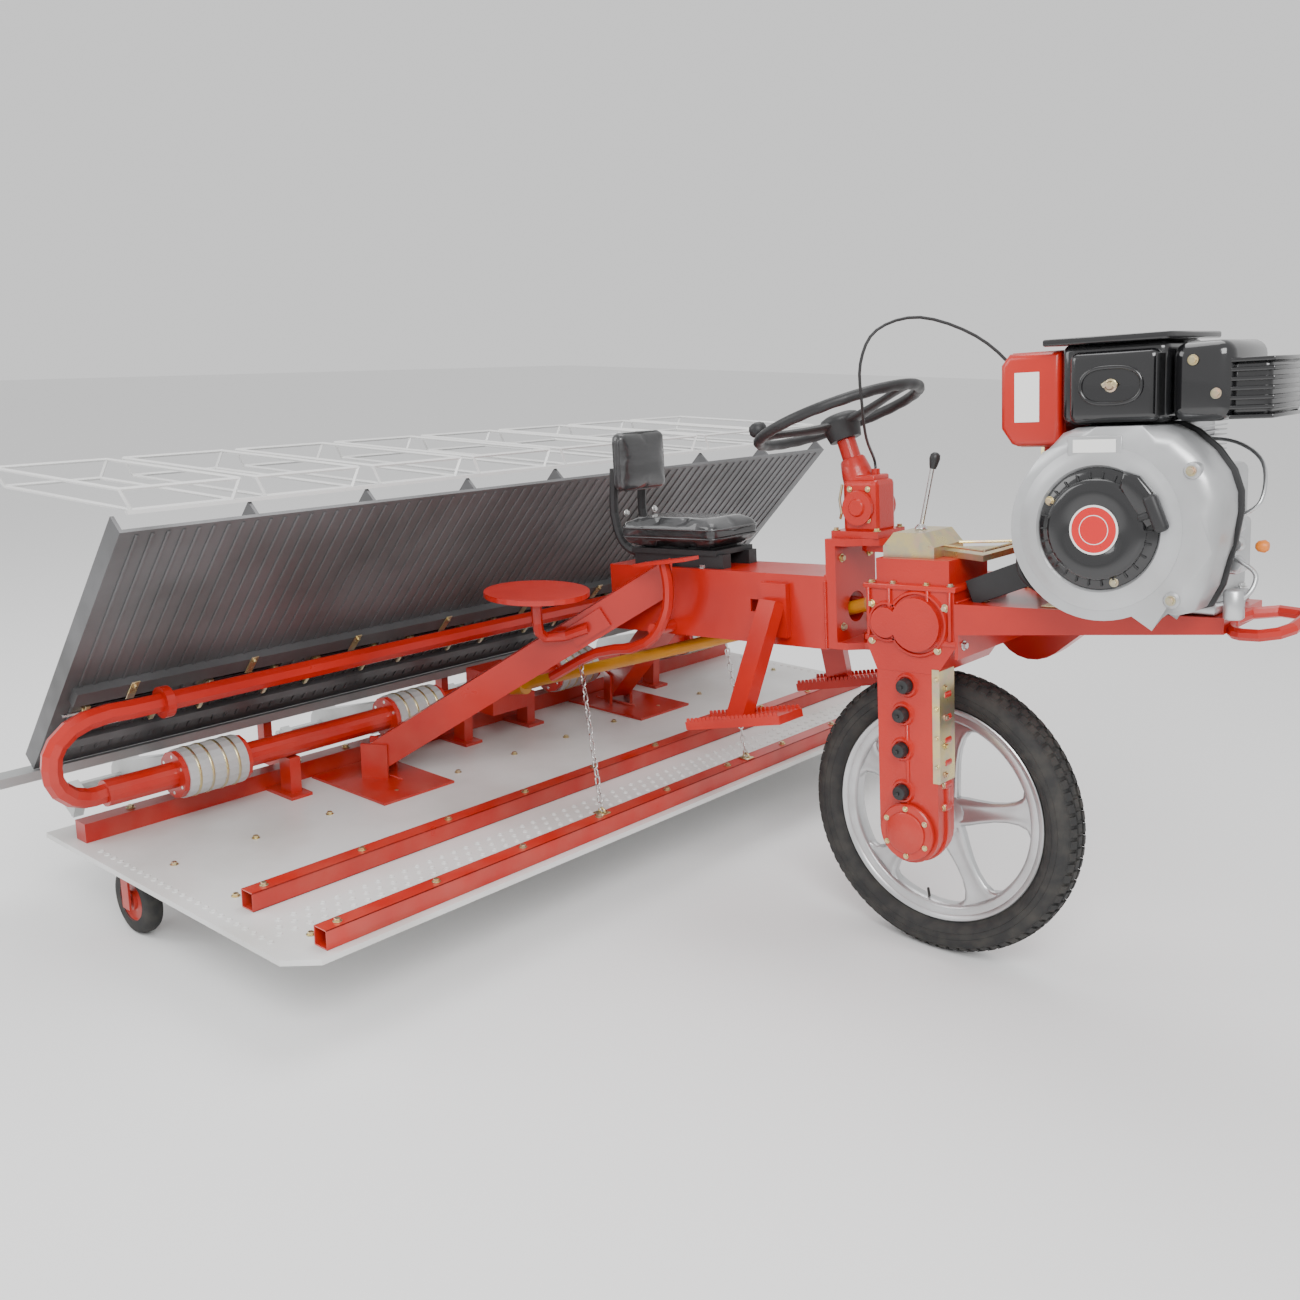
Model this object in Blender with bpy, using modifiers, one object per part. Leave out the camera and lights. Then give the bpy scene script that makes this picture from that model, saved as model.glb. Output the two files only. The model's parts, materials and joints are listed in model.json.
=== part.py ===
"""Ride-on rice transplanter: a single-wheel power unit that steers at the nose of a box beam, and a float
board that carries the planting cases and an eight-column seedling tray.

Metres, +Z up, +X forward, +Y to the driver's left. The origin is on the ground under the middle of the
machine. Pieces are placed from the front wheel's ground point, in two frames: FLOOR is level, for the float
board and the planter, and AXLE has its origin at the front axle and is tilted nose up, for the power unit,
the beam and the seat, which are square to each other.
"""

from math import atan2, cos, hypot, pi, radians, sin, tan

import bmesh
import bpy
from mathutils import Matrix, Vector

# Fits
GAP = 0.0003            # between faces that touch
RUNNING = 0.006         # between faces that move past each other

# Front wheel
TYRE_RADIUS = 0.31
TYRE_SECTION = 0.042    # half of the tyre's width
RIM_RADIUS = 0.239      # outside of the rim flange
RIM_HALF_WIDTH = 0.026
HUB_RADIUS = 0.036
SPOKES = 5
NOSE_UP = radians(4.5)  # the power unit and the beam lean back by this

# Float board
BOARD_TOP = 0.185
BOARD_THICKNESS = 0.012
BOARD_HALF_WIDTH = 1.20
BOARD_FRONT = -0.635
BOARD_REAR = -1.62
BOARD_CORNER = 0.055
RAIL_SIZE = 0.04
RAIL_HALF_LENGTH = 1.12
RAIL_PLACES = (("front_rail", -0.675), ("second_rail", -0.92))

# Planter
CASE_PLACES = (("planting_case_1", -0.9), ("planting_case_2", -0.3), ("planting_case_3", 0.3), ("planting_case_4", 0.9))
CASE_X = -1.42
CASE_Z = 0.315
CASE_RADIUS = 0.058
CASE_HALF_WIDTH = 0.075
CASE_REACH = 0.385      # from the cross tube back to the crank shaft
CASE_DROP = 0.11        # the crank shaft lies this far below the cross tube
CASE_ARM = 0.05         # thickness of the case's rear arm
CROSS_TUBE_RADIUS = 0.03
CROSS_TUBE_END = 1.15
BASE_BEAM_X = -1.51
BASE_BEAM_SIZE = 0.045
CLAW_TIP_Z = 0.135
CLAW_X = -1.80
CLAW_OFFSET = 0.15      # each claw stands this far to the side of its case

# Seedling tray
COLUMNS = 8
COLUMN_PITCH = 0.30
TRAY_SLOPE = radians(49.5)
TRAY_TOP_X = -1.135
TRAY_TOP_Z = 0.93
TRAY_LENGTH = 0.78
TRAY_SHEET = 0.008
TRAY_WALL = 0.008
TRAY_WALL_HEIGHT = 0.04
TRAY_TRAVEL = 0.14
SLIDE_RAIL_SIZE = (0.05, 0.022)
HOOP_RADIUS = 0.0225
HOOP_X = -1.405
HOOP_Z = 0.495
RACK_LENGTH = 0.56
RACK_WIDTH = 0.26
RACK_HEIGHT = 0.042
RACK_WIRE = 0.004

# Beam and legs, heights from the front axle in the tilted frame
BEAM_SIZE = 0.16
BEAM_WALL = 0.006
BEAM_FRONT = -0.2303
BEAM_REAR = -0.86
BEAM_TOP = 0.507
LEG_SECTION = (0.075, 0.055)
LEG_TOP = (-0.70, 0.049, 0.755)   # inside the beam, whose side cuts the leg off
LEG_FOOT = (-1.36, 0.455, 0.245)
PLATE_SIZE = (0.30, 0.22, 0.006)
EAR_THICKNESS = 0.008
HELPER_SEAT = (-0.925, 0.305, 0.705)

# Steering
PIVOT_X = -0.15
BRACKET_WEB = 0.025
BRACKET_PLATE = 0.015
BRACKET_LOW = 0.350
BRACKET_HIGH = 0.588
BRACKET_ROUND = 0.058
PIN_RADIUS = 0.012
PIN_CLEARANCE = 0.0015
YOKE_PLATE = 0.016
STEERING_HALF_RANGE = radians(40)
COLUMN_LEAN = radians(19.5)
HAND_WHEEL_RADIUS = 0.178
HAND_WHEEL_GRIP = 0.013
HAND_HUB_DEPTH = 0.0535  # the hub ends this far below the wheel
HAND_WHEEL_X = -0.2397
HAND_WHEEL_Z = 0.8424

# Power unit
CASE_FACE = -0.152      # right face of the gearbox and of the leg case
LEG_CASE_DEPTH = 0.064
LEG_CASE_HALF = 0.068
GEARBOX_REAR = -0.085
GEARBOX_FRONT = 0.112
GEARBOX_LEFT = 0.07
GEARBOX_LOW = 0.335
GEARBOX_TOP = 0.51
SHIFT_TOP = 0.562
PLATFORM_TOP = 0.48
DRIVE_HEIGHT = 0.44     # the drive shaft meets the gearbox at this height
PLATFORM_FRONT = 0.60
PLATFORM_SHEET = 0.006
ENGINE_X = 0.435
ENGINE_Z = 0.645
SHROUD_RADIUS = 0.158
SHROUD_FACE = -0.25
RECOIL_RADIUS = 0.104
HEAD_REAR = 0.350
HEAD_FRONT = 0.535
HEAD_TOP = 0.8155
LOOP_TIP = 0.715

# Seat
SEAT_LENGTH = 0.31
SEAT_WIDTH = 0.19
SEAT_THICKNESS = 0.062
SEAT_FRONT = -0.515
SEAT_TOP = 0.618

# Rear support wheels
REAR_WHEEL_X = -1.358
REAR_WHEEL_Y = 1.125
REAR_WHEEL_RADIUS = 0.078
REAR_TREAD = 0.038

for old in list(bpy.data.objects):
    bpy.data.objects.remove(old, do_unlink=True)

parts = bpy.data.collections.new("rice_transplanter")
helpers = bpy.data.collections.new("cutters_and_joined_pieces")
bpy.context.scene.collection.children.link(parts)
bpy.context.scene.collection.children.link(helpers)


# ---- Helpers --------------------------------------------------------------------------------------------

def material(name, colour, roughness, metallic=0.0):
    made = bpy.data.materials.new(name)
    made.use_nodes = True
    shader = made.node_tree.nodes["Principled BSDF"]
    shader.inputs["Base Color"].default_value = (*colour, 1)
    shader.inputs["Roughness"].default_value = roughness
    shader.inputs["Metallic"].default_value = metallic
    return made


def empty(name, location, parent=None, tilt=0.0):
    """A frame: tilt turns it about Y, nose up when negative."""
    made = bpy.data.objects.new(name, None)
    parts.objects.link(made)
    made.parent = parent
    made.location = location
    made.rotation_euler = (0, tilt, 0)
    return made


def finish(made, parent, surface, location=(0, 0, 0), rotation=(0, 0, 0), smooth=False):
    if made.name not in parts.objects:
        parts.objects.link(made)
    made.parent = parent
    made.location = location
    made.rotation_euler = rotation
    if surface:
        made.data.materials.append(surface)
    if smooth:
        made.data.shade_smooth()
        made.data.set_sharp_from_angle(angle=radians(35))
    return made


def mesh_object(name, shape):
    mesh = bpy.data.meshes.new(name)
    shape.to_mesh(mesh)
    shape.free()
    return bpy.data.objects.new(name, mesh)


def box(name, size, location, parent, surface=None, rotation=(0, 0, 0), bevel=0.0):
    shape = bmesh.new()
    bmesh.ops.create_cube(shape, size=1)
    bmesh.ops.scale(shape, vec=size, verts=shape.verts)
    made = finish(mesh_object(name, shape), parent, surface, location, rotation)
    if bevel:
        rounded = made.modifiers.new("Rounded edges", "BEVEL")
        rounded.width = bevel
        rounded.segments = 2
    return made


def cylinder(name, radius, length, location, parent, surface=None, axis="Z", sides=32, top_radius=None):
    shape = bmesh.new()
    bmesh.ops.create_cone(shape, cap_ends=True, segments=sides, radius1=radius,
                          radius2=radius if top_radius is None else top_radius, depth=length)
    turn = {"X": (0, pi / 2, 0), "Y": (pi / 2, 0, 0), "Z": (0, 0, 0)}[axis]
    return finish(mesh_object(name, shape), parent, surface, location, turn, smooth=True)


def rod(name, radius, start, end, parent, surface=None, sides=16):
    """A straight round bar between two points."""
    start, end = Vector(start), Vector(end)
    made = cylinder(name, radius, (end - start).length, (start + end) / 2, parent, surface, sides=sides)
    made.rotation_euler = (end - start).to_track_quat("Z", "Y").to_euler()
    return made


def bar(name, section, start, end, parent, surface=None):
    """A straight bar between two points: section is its height and its width across."""
    start, end = Vector(start), Vector(end)
    along = (end - start).normalized()
    side = along.cross(Vector((0, 0, 1))).normalized()
    up = side.cross(along)
    made = box(name, (section[0], section[1], (end - start).length), (0, 0, 0), parent, surface)
    turn = Matrix((up, side, along)).transposed()
    if turn.determinant() < 0:
        turn = Matrix((up, -side, along)).transposed()
    made.location = (start + end) / 2
    made.rotation_euler = turn.to_euler()
    return made


def arc(centre, radius, start, end, steps):
    """Points along an arc, from one angle to the other, in degrees."""
    turns = (radians(start + (end - start) * k / steps) for k in range(steps + 1))
    return [(centre[0] + radius * cos(turn), centre[1] + radius * sin(turn)) for turn in turns]


def converted(curve):
    """The curve's closed mesh, in its place."""
    bpy.context.view_layer.update()
    graph = bpy.context.evaluated_depsgraph_get()
    mesh = bpy.data.meshes.new_from_object(curve.evaluated_get(graph))
    shape = bmesh.new()
    shape.from_mesh(mesh)
    bmesh.ops.remove_doubles(shape, verts=shape.verts, dist=1e-6)
    bmesh.ops.recalc_face_normals(shape, faces=shape.faces)
    shape.to_mesh(mesh)
    shape.free()
    name, parent = curve.name, curve.parent
    place = curve.matrix_local.copy()
    bpy.data.objects.remove(curve, do_unlink=True)
    made = bpy.data.objects.new(name, mesh)
    parts.objects.link(made)
    made.parent = parent
    made.matrix_local = place
    return made


def plate(name, outline, thickness, location, parent, surface=None, facing="Y"):
    """A flat outline with a thickness about its middle. Facing Y its points are (x, z), facing Z (x, y) and
    facing X (y, z)."""
    curve = bpy.data.curves.new(name, "CURVE")
    curve.dimensions = "2D"
    curve.fill_mode = "BOTH"
    curve.extrude = thickness / 2
    spline = curve.splines.new("POLY")
    spline.points.add(len(outline) - 1)
    for point, (across, up) in zip(spline.points, outline):
        point.co = (across, up, 0, 1)
    spline.use_cyclic_u = True
    made = bpy.data.objects.new(name, curve)
    turn = {"X": (pi / 2, 0, pi / 2), "Y": (pi / 2, 0, 0), "Z": (0, 0, 0)}[facing]
    return converted(finish(made, parent, surface, location, turn))


def tube(name, points, radius, parent, surface=None, cyclic=False, smooth=True, resolution=2, sides=2):
    """A round tube or wire through the points, as a smooth curve or as straight runs."""
    curve = bpy.data.curves.new(name, "CURVE")
    curve.dimensions = "3D"
    curve.bevel_depth = radius
    curve.bevel_resolution = sides
    curve.use_fill_caps = not cyclic
    curve.resolution_u = resolution
    if smooth:
        spline = curve.splines.new("BEZIER")
        spline.bezier_points.add(len(points) - 1)
        for point, place in zip(spline.bezier_points, points):
            point.co = place
            point.handle_left_type = point.handle_right_type = "AUTO"
    else:
        spline = curve.splines.new("POLY")
        spline.points.add(len(points) - 1)
        for point, place in zip(spline.points, points):
            point.co = (*place, 1)
    spline.use_cyclic_u = cyclic
    made = converted(finish(bpy.data.objects.new(name, curve), parent, surface))
    made.data.shade_smooth()
    return made


def turned(name, profile, parent, surface=None, location=(0, 0, 0), rotation=(0, 0, 0), steps=32, closed=False):
    """A profile of (radius, height) points, from the top down its outer side, turned about Z."""
    shape = bmesh.new()
    corners = [shape.verts.new((radius, 0, height)) for radius, height in profile]
    for first, second in zip(corners, corners[1:] + corners[:1] if closed else corners[1:]):
        shape.edges.new((first, second))
    made = finish(mesh_object(name, shape), parent, surface, location, rotation)
    spin = made.modifiers.new("Turned", "SCREW")
    spin.steps = spin.render_steps = steps
    spin.use_merge_vertices = True
    spin.merge_threshold = 0.0001
    spin.use_smooth_shade = True
    return made


def put_away(piece):
    parts.objects.unlink(piece)
    helpers.objects.link(piece)
    piece.hide_render = True
    piece.display_type = "WIRE"


def combine(target, operation, pieces):
    for piece in pieces:
        step = target.modifiers.new(operation.title() + " " + piece.name, "BOOLEAN")
        step.operation = operation
        step.solver = "EXACT"
        step.object = piece
        put_away(piece)
    return target


def join(target, *pieces):
    return combine(target, "UNION", pieces)


def cut(target, *pieces):
    return combine(target, "DIFFERENCE", pieces)


# ---- Materials ------------------------------------------------------------------------------------------

red = material("red_paint", (0.72, 0.035, 0.015), 0.35)
white = material("white_sheet", (0.78, 0.80, 0.84), 0.4)
silver = material("cast_aluminium", (0.62, 0.63, 0.65), 0.35, 1.0)
zinc = material("yellow_zinc", (0.62, 0.55, 0.30), 0.35, 1.0)
steel = material("bare_steel", (0.55, 0.54, 0.52), 0.4, 1.0)
wire = material("white_wire", (0.85, 0.86, 0.88), 0.4)
rubber = material("tyre_rubber", (0.03, 0.03, 0.03), 0.8)
black = material("black_enamel", (0.012, 0.012, 0.014), 0.25)
vinyl = material("black_vinyl", (0.03, 0.03, 0.033), 0.35)
orange = material("orange_paint", (0.75, 0.30, 0.02), 0.4)

# ---- Frames ---------------------------------------------------------------------------------------------

tray_foot_x = TRAY_TOP_X - TRAY_LENGTH * cos(TRAY_SLOPE)
tray_foot_z = TRAY_TOP_Z - TRAY_LENGTH * sin(TRAY_SLOPE)
slide_rail_top = tray_foot_z - TRAY_SHEET / 2 * cos(TRAY_SLOPE) - 2 * GAP
front_end = LOOP_TIP * cos(NOSE_UP) - (PLATFORM_TOP - 0.035) * sin(NOSE_UP)
rear_end = CLAW_X - 0.05
FLOOR = empty("floor_frame", (-(front_end + rear_end) / 2, 0, 0))
AXLE = empty("axle_frame", (0, 0, TYRE_RADIUS), FLOOR, tilt=-NOSE_UP)
STEER = empty("steering_axis", (PIVOT_X, 0, 0), AXLE)
POWER = empty("power_unit_frame", (-PIVOT_X, 0, 0), STEER)


def level(point):
    """A point of the tilted AXLE frame in the level FLOOR frame."""
    x, y, z = point
    return (x * cos(NOSE_UP) - z * sin(NOSE_UP), y, x * sin(NOSE_UP) + z * cos(NOSE_UP) + TYRE_RADIUS)


def tilted(point):
    """A point of the level FLOOR frame in the tilted AXLE frame."""
    x, y, z = point
    z -= TYRE_RADIUS
    return (x * cos(NOSE_UP) + z * sin(NOSE_UP), y, -x * sin(NOSE_UP) + z * cos(NOSE_UP))


# ---- Front wheel ----------------------------------------------------------------------------------------

def front_wheel():
    lay = (pi / 2, 0, 0)
    crown = TYRE_RADIUS
    bead = RIM_RADIUS - 0.012
    seat_half = RIM_HALF_WIDTH - 0.005 - GAP
    profile = [(bead, seat_half), (RIM_RADIUS + GAP, seat_half)]
    profile += [(RIM_RADIUS + 0.028, TYRE_SECTION), (crown - 0.014, TYRE_SECTION - 0.008), (crown, 0.010)]
    profile += [(radius, -height) for radius, height in reversed(profile)]
    turned("front_tyre", profile, POWER, rubber, rotation=lay, steps=40, closed=True)

    outer = bead - GAP
    inner = outer - 0.016
    half = RIM_HALF_WIDTH
    hoop = [(inner, half), (RIM_RADIUS, half), (RIM_RADIUS, half - 0.003), (outer, half - 0.005)]
    hoop += [(radius, -height) for radius, height in reversed(hoop)]
    hoop += [(inner - 0.004, 0)]
    rim = turned("front_rim", [(r, h) for r, h in hoop], POWER, silver, rotation=lay, steps=40, closed=True)
    hub = cylinder("front_hub", HUB_RADIUS, 0.066, (0, 0, 0), POWER, axis="Y")
    reach = inner + 0.004
    arms = []
    for k in range(SPOKES):
        spoke = plate(f"front_spoke_{k}", [(0.0, -0.030), (0.06, -0.030), (0.11, -0.019), (reach, -0.030),
                                           (reach, 0.030), (0.11, 0.019), (0.06, 0.030), (0.0, 0.030)],
                      0.030, (0, 0, 0), POWER)
        spoke.rotation_euler = (pi / 2, radians(360 / SPOKES) * k + radians(8), 0)
        arms.append(spoke)
    join(rim, hub, *arms)


front_wheel()


# ---- Power unit -----------------------------------------------------------------------------------------

def leg_case():
    low, high = 0.0, GEARBOX_LOW - GAP
    middle = 0.005
    left, right = middle - LEG_CASE_HALF, middle + LEG_CASE_HALF
    outline = [(left, high), *arc((middle, low), LEG_CASE_HALF, 180, 360, 14), (right, high)]
    case = plate("leg_case", outline, LEG_CASE_DEPTH, (0, CASE_FACE + LEG_CASE_DEPTH / 2, 0), POWER, red)
    cap = cylinder("leg_case_cap", 0.058, 0.02, (middle, CASE_FACE - 0.004, 0), POWER, axis="Y")
    boss = cylinder("axle_boss", 0.034, 0.05, (0, CASE_FACE + LEG_CASE_DEPTH + 0.02, 0), POWER, axis="Y", sides=24)
    plugs = [cylinder(f"plug_{k}", 0.0145, 0.032, (x, CASE_FACE - 0.004, height), POWER, axis="Y", sides=16)
             for k, (x, height) in enumerate(((-0.006, 0.084), (-0.006, 0.173), (-0.004, 0.247), (0.006, 0.308)))]
    join(case, cap, boss, *plugs)


def axle():
    start = CASE_FACE + LEG_CASE_DEPTH + 0.045 + GAP
    end = -0.033 - GAP
    cylinder("front_axle", 0.02, end - start, (0, (start + end) / 2, 0), POWER, steel, axis="Y", sides=24)


def gearbox():
    depth = GEARBOX_LEFT - CASE_FACE
    middle = (GEARBOX_LEFT + CASE_FACE) / 2
    outline = [(GEARBOX_REAR, GEARBOX_TOP), (GEARBOX_REAR, GEARBOX_LOW + 0.05), (-0.063, GEARBOX_LOW),
               (0.073, GEARBOX_LOW), (GEARBOX_FRONT, GEARBOX_LOW + 0.055), (GEARBOX_FRONT, GEARBOX_TOP)]
    case = plate("gearbox", outline, depth, (0, middle, 0), POWER, red)
    bosses = [cylinder(f"gearbox_boss_{k}", radius, 0.02, (x, CASE_FACE - 0.004, z), POWER, axis="Y", sides=24)
              for k, (x, z, radius) in enumerate(((-0.037, 0.435, 0.031), (0.032, 0.435, 0.054)))]
    housing = box("shift_housing", (0.163, 0.16, 0.08), (0.0165, -0.065, SHIFT_TOP - 0.04), POWER)
    stub = cylinder("drive_stub", 0.018, 0.06, (GEARBOX_REAR - 0.010, 0, DRIVE_HEIGHT), POWER, axis="X", sides=20)
    join(case, *bosses, housing, stub)
    cover = [(-0.06, SHIFT_TOP + GAP), (0.055, SHIFT_TOP + GAP), (0.055, SHIFT_TOP + 0.022),
             (0.03, SHIFT_TOP + 0.05), (-0.035, SHIFT_TOP + 0.05), (-0.06, SHIFT_TOP + 0.022)]
    top = plate("shift_cover", cover, 0.12, (0, -0.065, 0), POWER, zinc)
    fan = [(0.040, 0.026), (0.165, 0.085), (0.165, -0.085), (0.040, -0.026)]
    quadrant = plate("lever_quadrant", fan, 0.012, (0, -0.05, SHIFT_TOP + 0.006 + GAP), POWER, facing="Z")
    join(top, quadrant)
    foot = (-0.01, -0.06, SHIFT_TOP + 0.05 + 5 * GAP)
    top = (0.02, -0.06, 0.745)
    lever = rod("gear_lever", 0.005, foot, top, POWER, black, sides=12)
    knob = rod("gear_knob", 0.011, (0.0185, -0.06, 0.737), (0.0235, -0.06, 0.767), POWER, sides=12)
    join(lever, knob)


def pivot_yoke():
    """Two lugs on a plate behind the gearbox: the upper one runs under the bracket's top plate and the lower
    one on its bottom plate."""
    low = BRACKET_LOW + BRACKET_PLATE + GAP
    high = BRACKET_HIGH - BRACKET_PLATE - GAP
    front = GEARBOX_REAR - GAP
    back = box("pivot_yoke", (YOKE_PLATE, 0.09, high - low), (front - YOKE_PLATE / 2, 0, (low + high) / 2), POWER, red)
    lug = [(front - 0.002, -0.04), (front - 0.002, 0.04), *arc((PIVOT_X, 0), 0.032, 90, 270, 12)]
    lugs = [plate(f"yoke_lug_{k}", lug, BRACKET_PLATE, (0, 0, z), POWER, facing="Z")
            for k, z in enumerate((low + BRACKET_PLATE / 2, high - BRACKET_PLATE / 2))]
    join(back, *lugs)
    bore = cylinder("yoke_bore", PIN_RADIUS + PIN_CLEARANCE, high - low + 0.02, (PIVOT_X, 0, (low + high) / 2), POWER,
                    sides=24)
    window = cylinder("yoke_shaft_hole", 0.026, 0.08, (front, 0, DRIVE_HEIGHT), POWER, axis="X", sides=24)
    cut(back, bore, window)


def engine_platform():
    rear = GEARBOX_FRONT + 3 * GAP
    rear_half, front_half = 0.15, 0.105
    middle = -0.005
    top = PLATFORM_TOP - PLATFORM_SHEET / 2
    outline = [(rear, middle - rear_half), (PLATFORM_FRONT, middle - front_half),
               (PLATFORM_FRONT, middle + front_half), (rear, middle + rear_half)]
    sheet = plate("engine_platform", outline, PLATFORM_SHEET, (0, 0, top), POWER, red, facing="Z")
    slant = atan2(rear_half - front_half, PLATFORM_FRONT - rear)
    length = hypot(rear_half - front_half, PLATFORM_FRONT - rear)
    skirts = []
    for side in (-1, 1):
        skirt = plate(f"platform_skirt_{side}", [(0, 0), (length, 0), (length, -0.028), (0, -0.060)], 0.007,
                      (rear, middle + side * (rear_half - 0.0036), PLATFORM_TOP - 0.001), POWER)
        skirt.rotation_euler = (pi / 2, 0, -side * slant)
        skirts.append(skirt)
    ends = [box("platform_rear", (0.007, 2 * rear_half - 0.004, 0.110), (rear + 0.0035, middle, PLATFORM_TOP - 0.055),
                POWER),
            box("platform_nose", (0.007, 2 * front_half - 0.003, 0.028), (PLATFORM_FRONT - 0.0035, middle,
                                                                          PLATFORM_TOP - 0.015), POWER)]
    peg = cylinder("platform_peg", 0.007, 0.045, (PLATFORM_FRONT - 0.0075, -0.06, PLATFORM_TOP + 0.020), POWER, sides=12)
    start = PLATFORM_FRONT + 0.006
    loop = tube("tow_loop", [(start, -0.085, 0.455), (start + 0.02, -0.10, 0.452), (LOOP_TIP - 0.03, -0.095, 0.458),
                             (LOOP_TIP - 0.011, -0.045, 0.468), (LOOP_TIP - 0.02, 0.01, 0.474), (start, 0.02, 0.468)],
                0.011, POWER, cyclic=True)
    join(sheet, *skirts, *ends, peg, loop)


def engine():
    base = PLATFORM_TOP + GAP
    block = box("engine_block", (0.25, 0.25, 0.27), (ENGINE_X + 0.01, -0.005, base + 0.145), POWER, silver, bevel=0.012)
    feet = box("engine_feet", (0.28, 0.19, 0.024), (ENGINE_X + 0.01, -0.01, base + 0.012), POWER)
    head = box("engine_head", (HEAD_FRONT - HEAD_REAR, 0.17, HEAD_TOP - base - 0.27),
               ((HEAD_FRONT + HEAD_REAR) / 2, -0.04, (HEAD_TOP + base + 0.27) / 2), POWER)
    pump = box("engine_pump", (0.06, 0.07, 0.10), (ENGINE_X + 0.155, -0.07, base + 0.12), POWER)
    join(block, feet, head, pump)
    cx, cz, r = ENGINE_X, ENGINE_Z, SHROUD_RADIUS
    outline = [*arc((cx, cz), r, 150, 300, 18), (cx + 0.155, cz - 0.135), (cx + 0.195, cz + 0.05), (cx + 0.175, cz + 0.115),
               (cx + 0.105, cz + 0.170), (cx - 0.055, cz + 0.170)]
    back = -0.005 - 0.125 - GAP
    shroud = plate("engine_shroud", outline, back - SHROUD_FACE, (0, (back + SHROUD_FACE) / 2, 0), POWER, silver)
    edge = shroud.modifiers.new("Rounded edges", "BEVEL")
    edge.width = 0.012
    edge.segments = 2
    edge.limit_method = "ANGLE"
    recoil = turned("recoil_cover", [(0, 0.020), (0.082, 0.020), (RECOIL_RADIUS, 0.008), (RECOIL_RADIUS, 0), (0, 0)],
                    POWER, black, location=(cx, SHROUD_FACE - GAP, cz), rotation=(pi / 2, 0, 0), steps=32)
    grip = box("recoil_handle", (0.024, 0.022, 0.062), (cx + 0.100, SHROUD_FACE - 0.016, cz + 0.028), POWER,
               rotation=(0, radians(-20), 0))
    join(recoil, grip)
    tank = box("fuel_tank", (0.115, 0.36, 0.165), (HEAD_REAR - GAP - 0.0575, -0.03, 0.862), POWER, red, bevel=0.018)
    filler = cylinder("tank_cap", 0.022, 0.03, (HEAD_REAR - 0.06, 0.06, 0.953), POWER, sides=16)
    join(tank, filler)
    low = HEAD_TOP + GAP
    box("air_cleaner", (HEAD_FRONT - HEAD_REAR, 0.20, 0.955 - low), ((HEAD_FRONT + HEAD_REAR) / 2, -0.14, (low + 0.955) / 2),
        POWER, black, bevel=0.014)
    rear = HEAD_FRONT + GAP
    muffler = box("muffler", (0.098, 0.20, 0.130), (rear + 0.049, -0.12, 0.8165 + 0.065), POWER, black, bevel=0.02)
    guard = box("muffler_guard", (0.070, 0.18, 0.096), (rear + 0.125, -0.12, 0.868), POWER, bevel=0.01)
    join(muffler, guard)


def belt_guard():
    low, high = (0.13, 0.40), (ENGINE_X, ENGINE_Z)
    radius = 0.085
    lean = atan2(high[1] - low[1], high[0] - low[0]) * 180 / pi
    outline = [*arc(low, radius, lean + 90, lean + 270, 12), *arc(high, radius, lean - 90, lean + 90, 12)]
    face = 0.15
    guard = plate("belt_guard", outline, 0.05, (0, face + 0.025, 0), POWER, red)
    shaft = cylinder("gearbox_pulley_shaft", 0.016, face - GEARBOX_LEFT, (0.08, (face + GEARBOX_LEFT) / 2 + GAP, 0.40),
                     POWER, axis="Y", sides=16)
    join(guard, shaft)


leg_case()
axle()
gearbox()
pivot_yoke()
engine_platform()
engine()
belt_guard()


# ---- Steering bracket, steering box and hand wheel ------------------------------------------------------

def steering_bracket():
    rear = BEAM_FRONT + GAP
    middle = (BRACKET_LOW + BRACKET_HIGH) / 2
    height = BRACKET_HIGH - BRACKET_LOW
    web = box("steering_bracket", (BRACKET_WEB, BEAM_SIZE, height), (rear + BRACKET_WEB / 2, 0, middle), AXLE, red)
    half = BEAM_SIZE / 2
    outline = [(rear + 0.004, half), (rear + 0.004, -half), (PIVOT_X - 0.03, -half),
               *arc((PIVOT_X, 0), BRACKET_ROUND, -90, 90, 10), (PIVOT_X - 0.03, half)]
    flanges = [plate(f"bracket_plate_{k}", outline, BRACKET_PLATE, (0, 0, z), AXLE, facing="Z")
               for k, z in enumerate((BRACKET_LOW + BRACKET_PLATE / 2, BRACKET_HIGH - BRACKET_PLATE / 2))]
    length = BRACKET_PLATE * 2 + 0.004
    pins = [cylinder(f"kingpin_{k}", PIN_RADIUS, length, (PIVOT_X, 0, z), AXLE, sides=24)
            for k, z in enumerate((BRACKET_LOW + length / 2, BRACKET_HIGH - length / 2))]
    join(web, *flanges, *pins)
    window = cylinder("bracket_shaft_hole", 0.034, 0.08, (rear, 0, DRIVE_HEIGHT - 0.008), AXLE, axis="X", sides=24)
    cut(web, window)


def steering_box():
    low = BRACKET_HIGH + GAP
    foot = box("steering_box", (0.115, 0.11, 0.014), (-0.172, 0, low + 0.007), AXLE, red)
    case = box("steering_box_case", (0.085, 0.08, 0.115), (-0.168, 0, low + 0.064), AXLE, bevel=0.012)
    gear = cylinder("steering_box_gear", 0.036, 0.10, (-0.168, 0, low + 0.062), AXLE, axis="Y", sides=24)
    below = HAND_HUB_DEPTH + GAP
    stem_top = (HAND_WHEEL_X + below * sin(COLUMN_LEAN), 0, HAND_WHEEL_Z - below * cos(COLUMN_LEAN))
    drop = stem_top[2] - low - 0.08
    stem = rod("steering_column", 0.02, (stem_top[0] + drop * tan(COLUMN_LEAN), 0, low + 0.08), stem_top, AXLE,
               sides=24)
    gland = cylinder("cable_gland", 0.009, 0.040, (PIVOT_X, 0, 0.7302 - 0.020), AXLE, sides=16)
    join(foot, case, gear, stem, gland)


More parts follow.
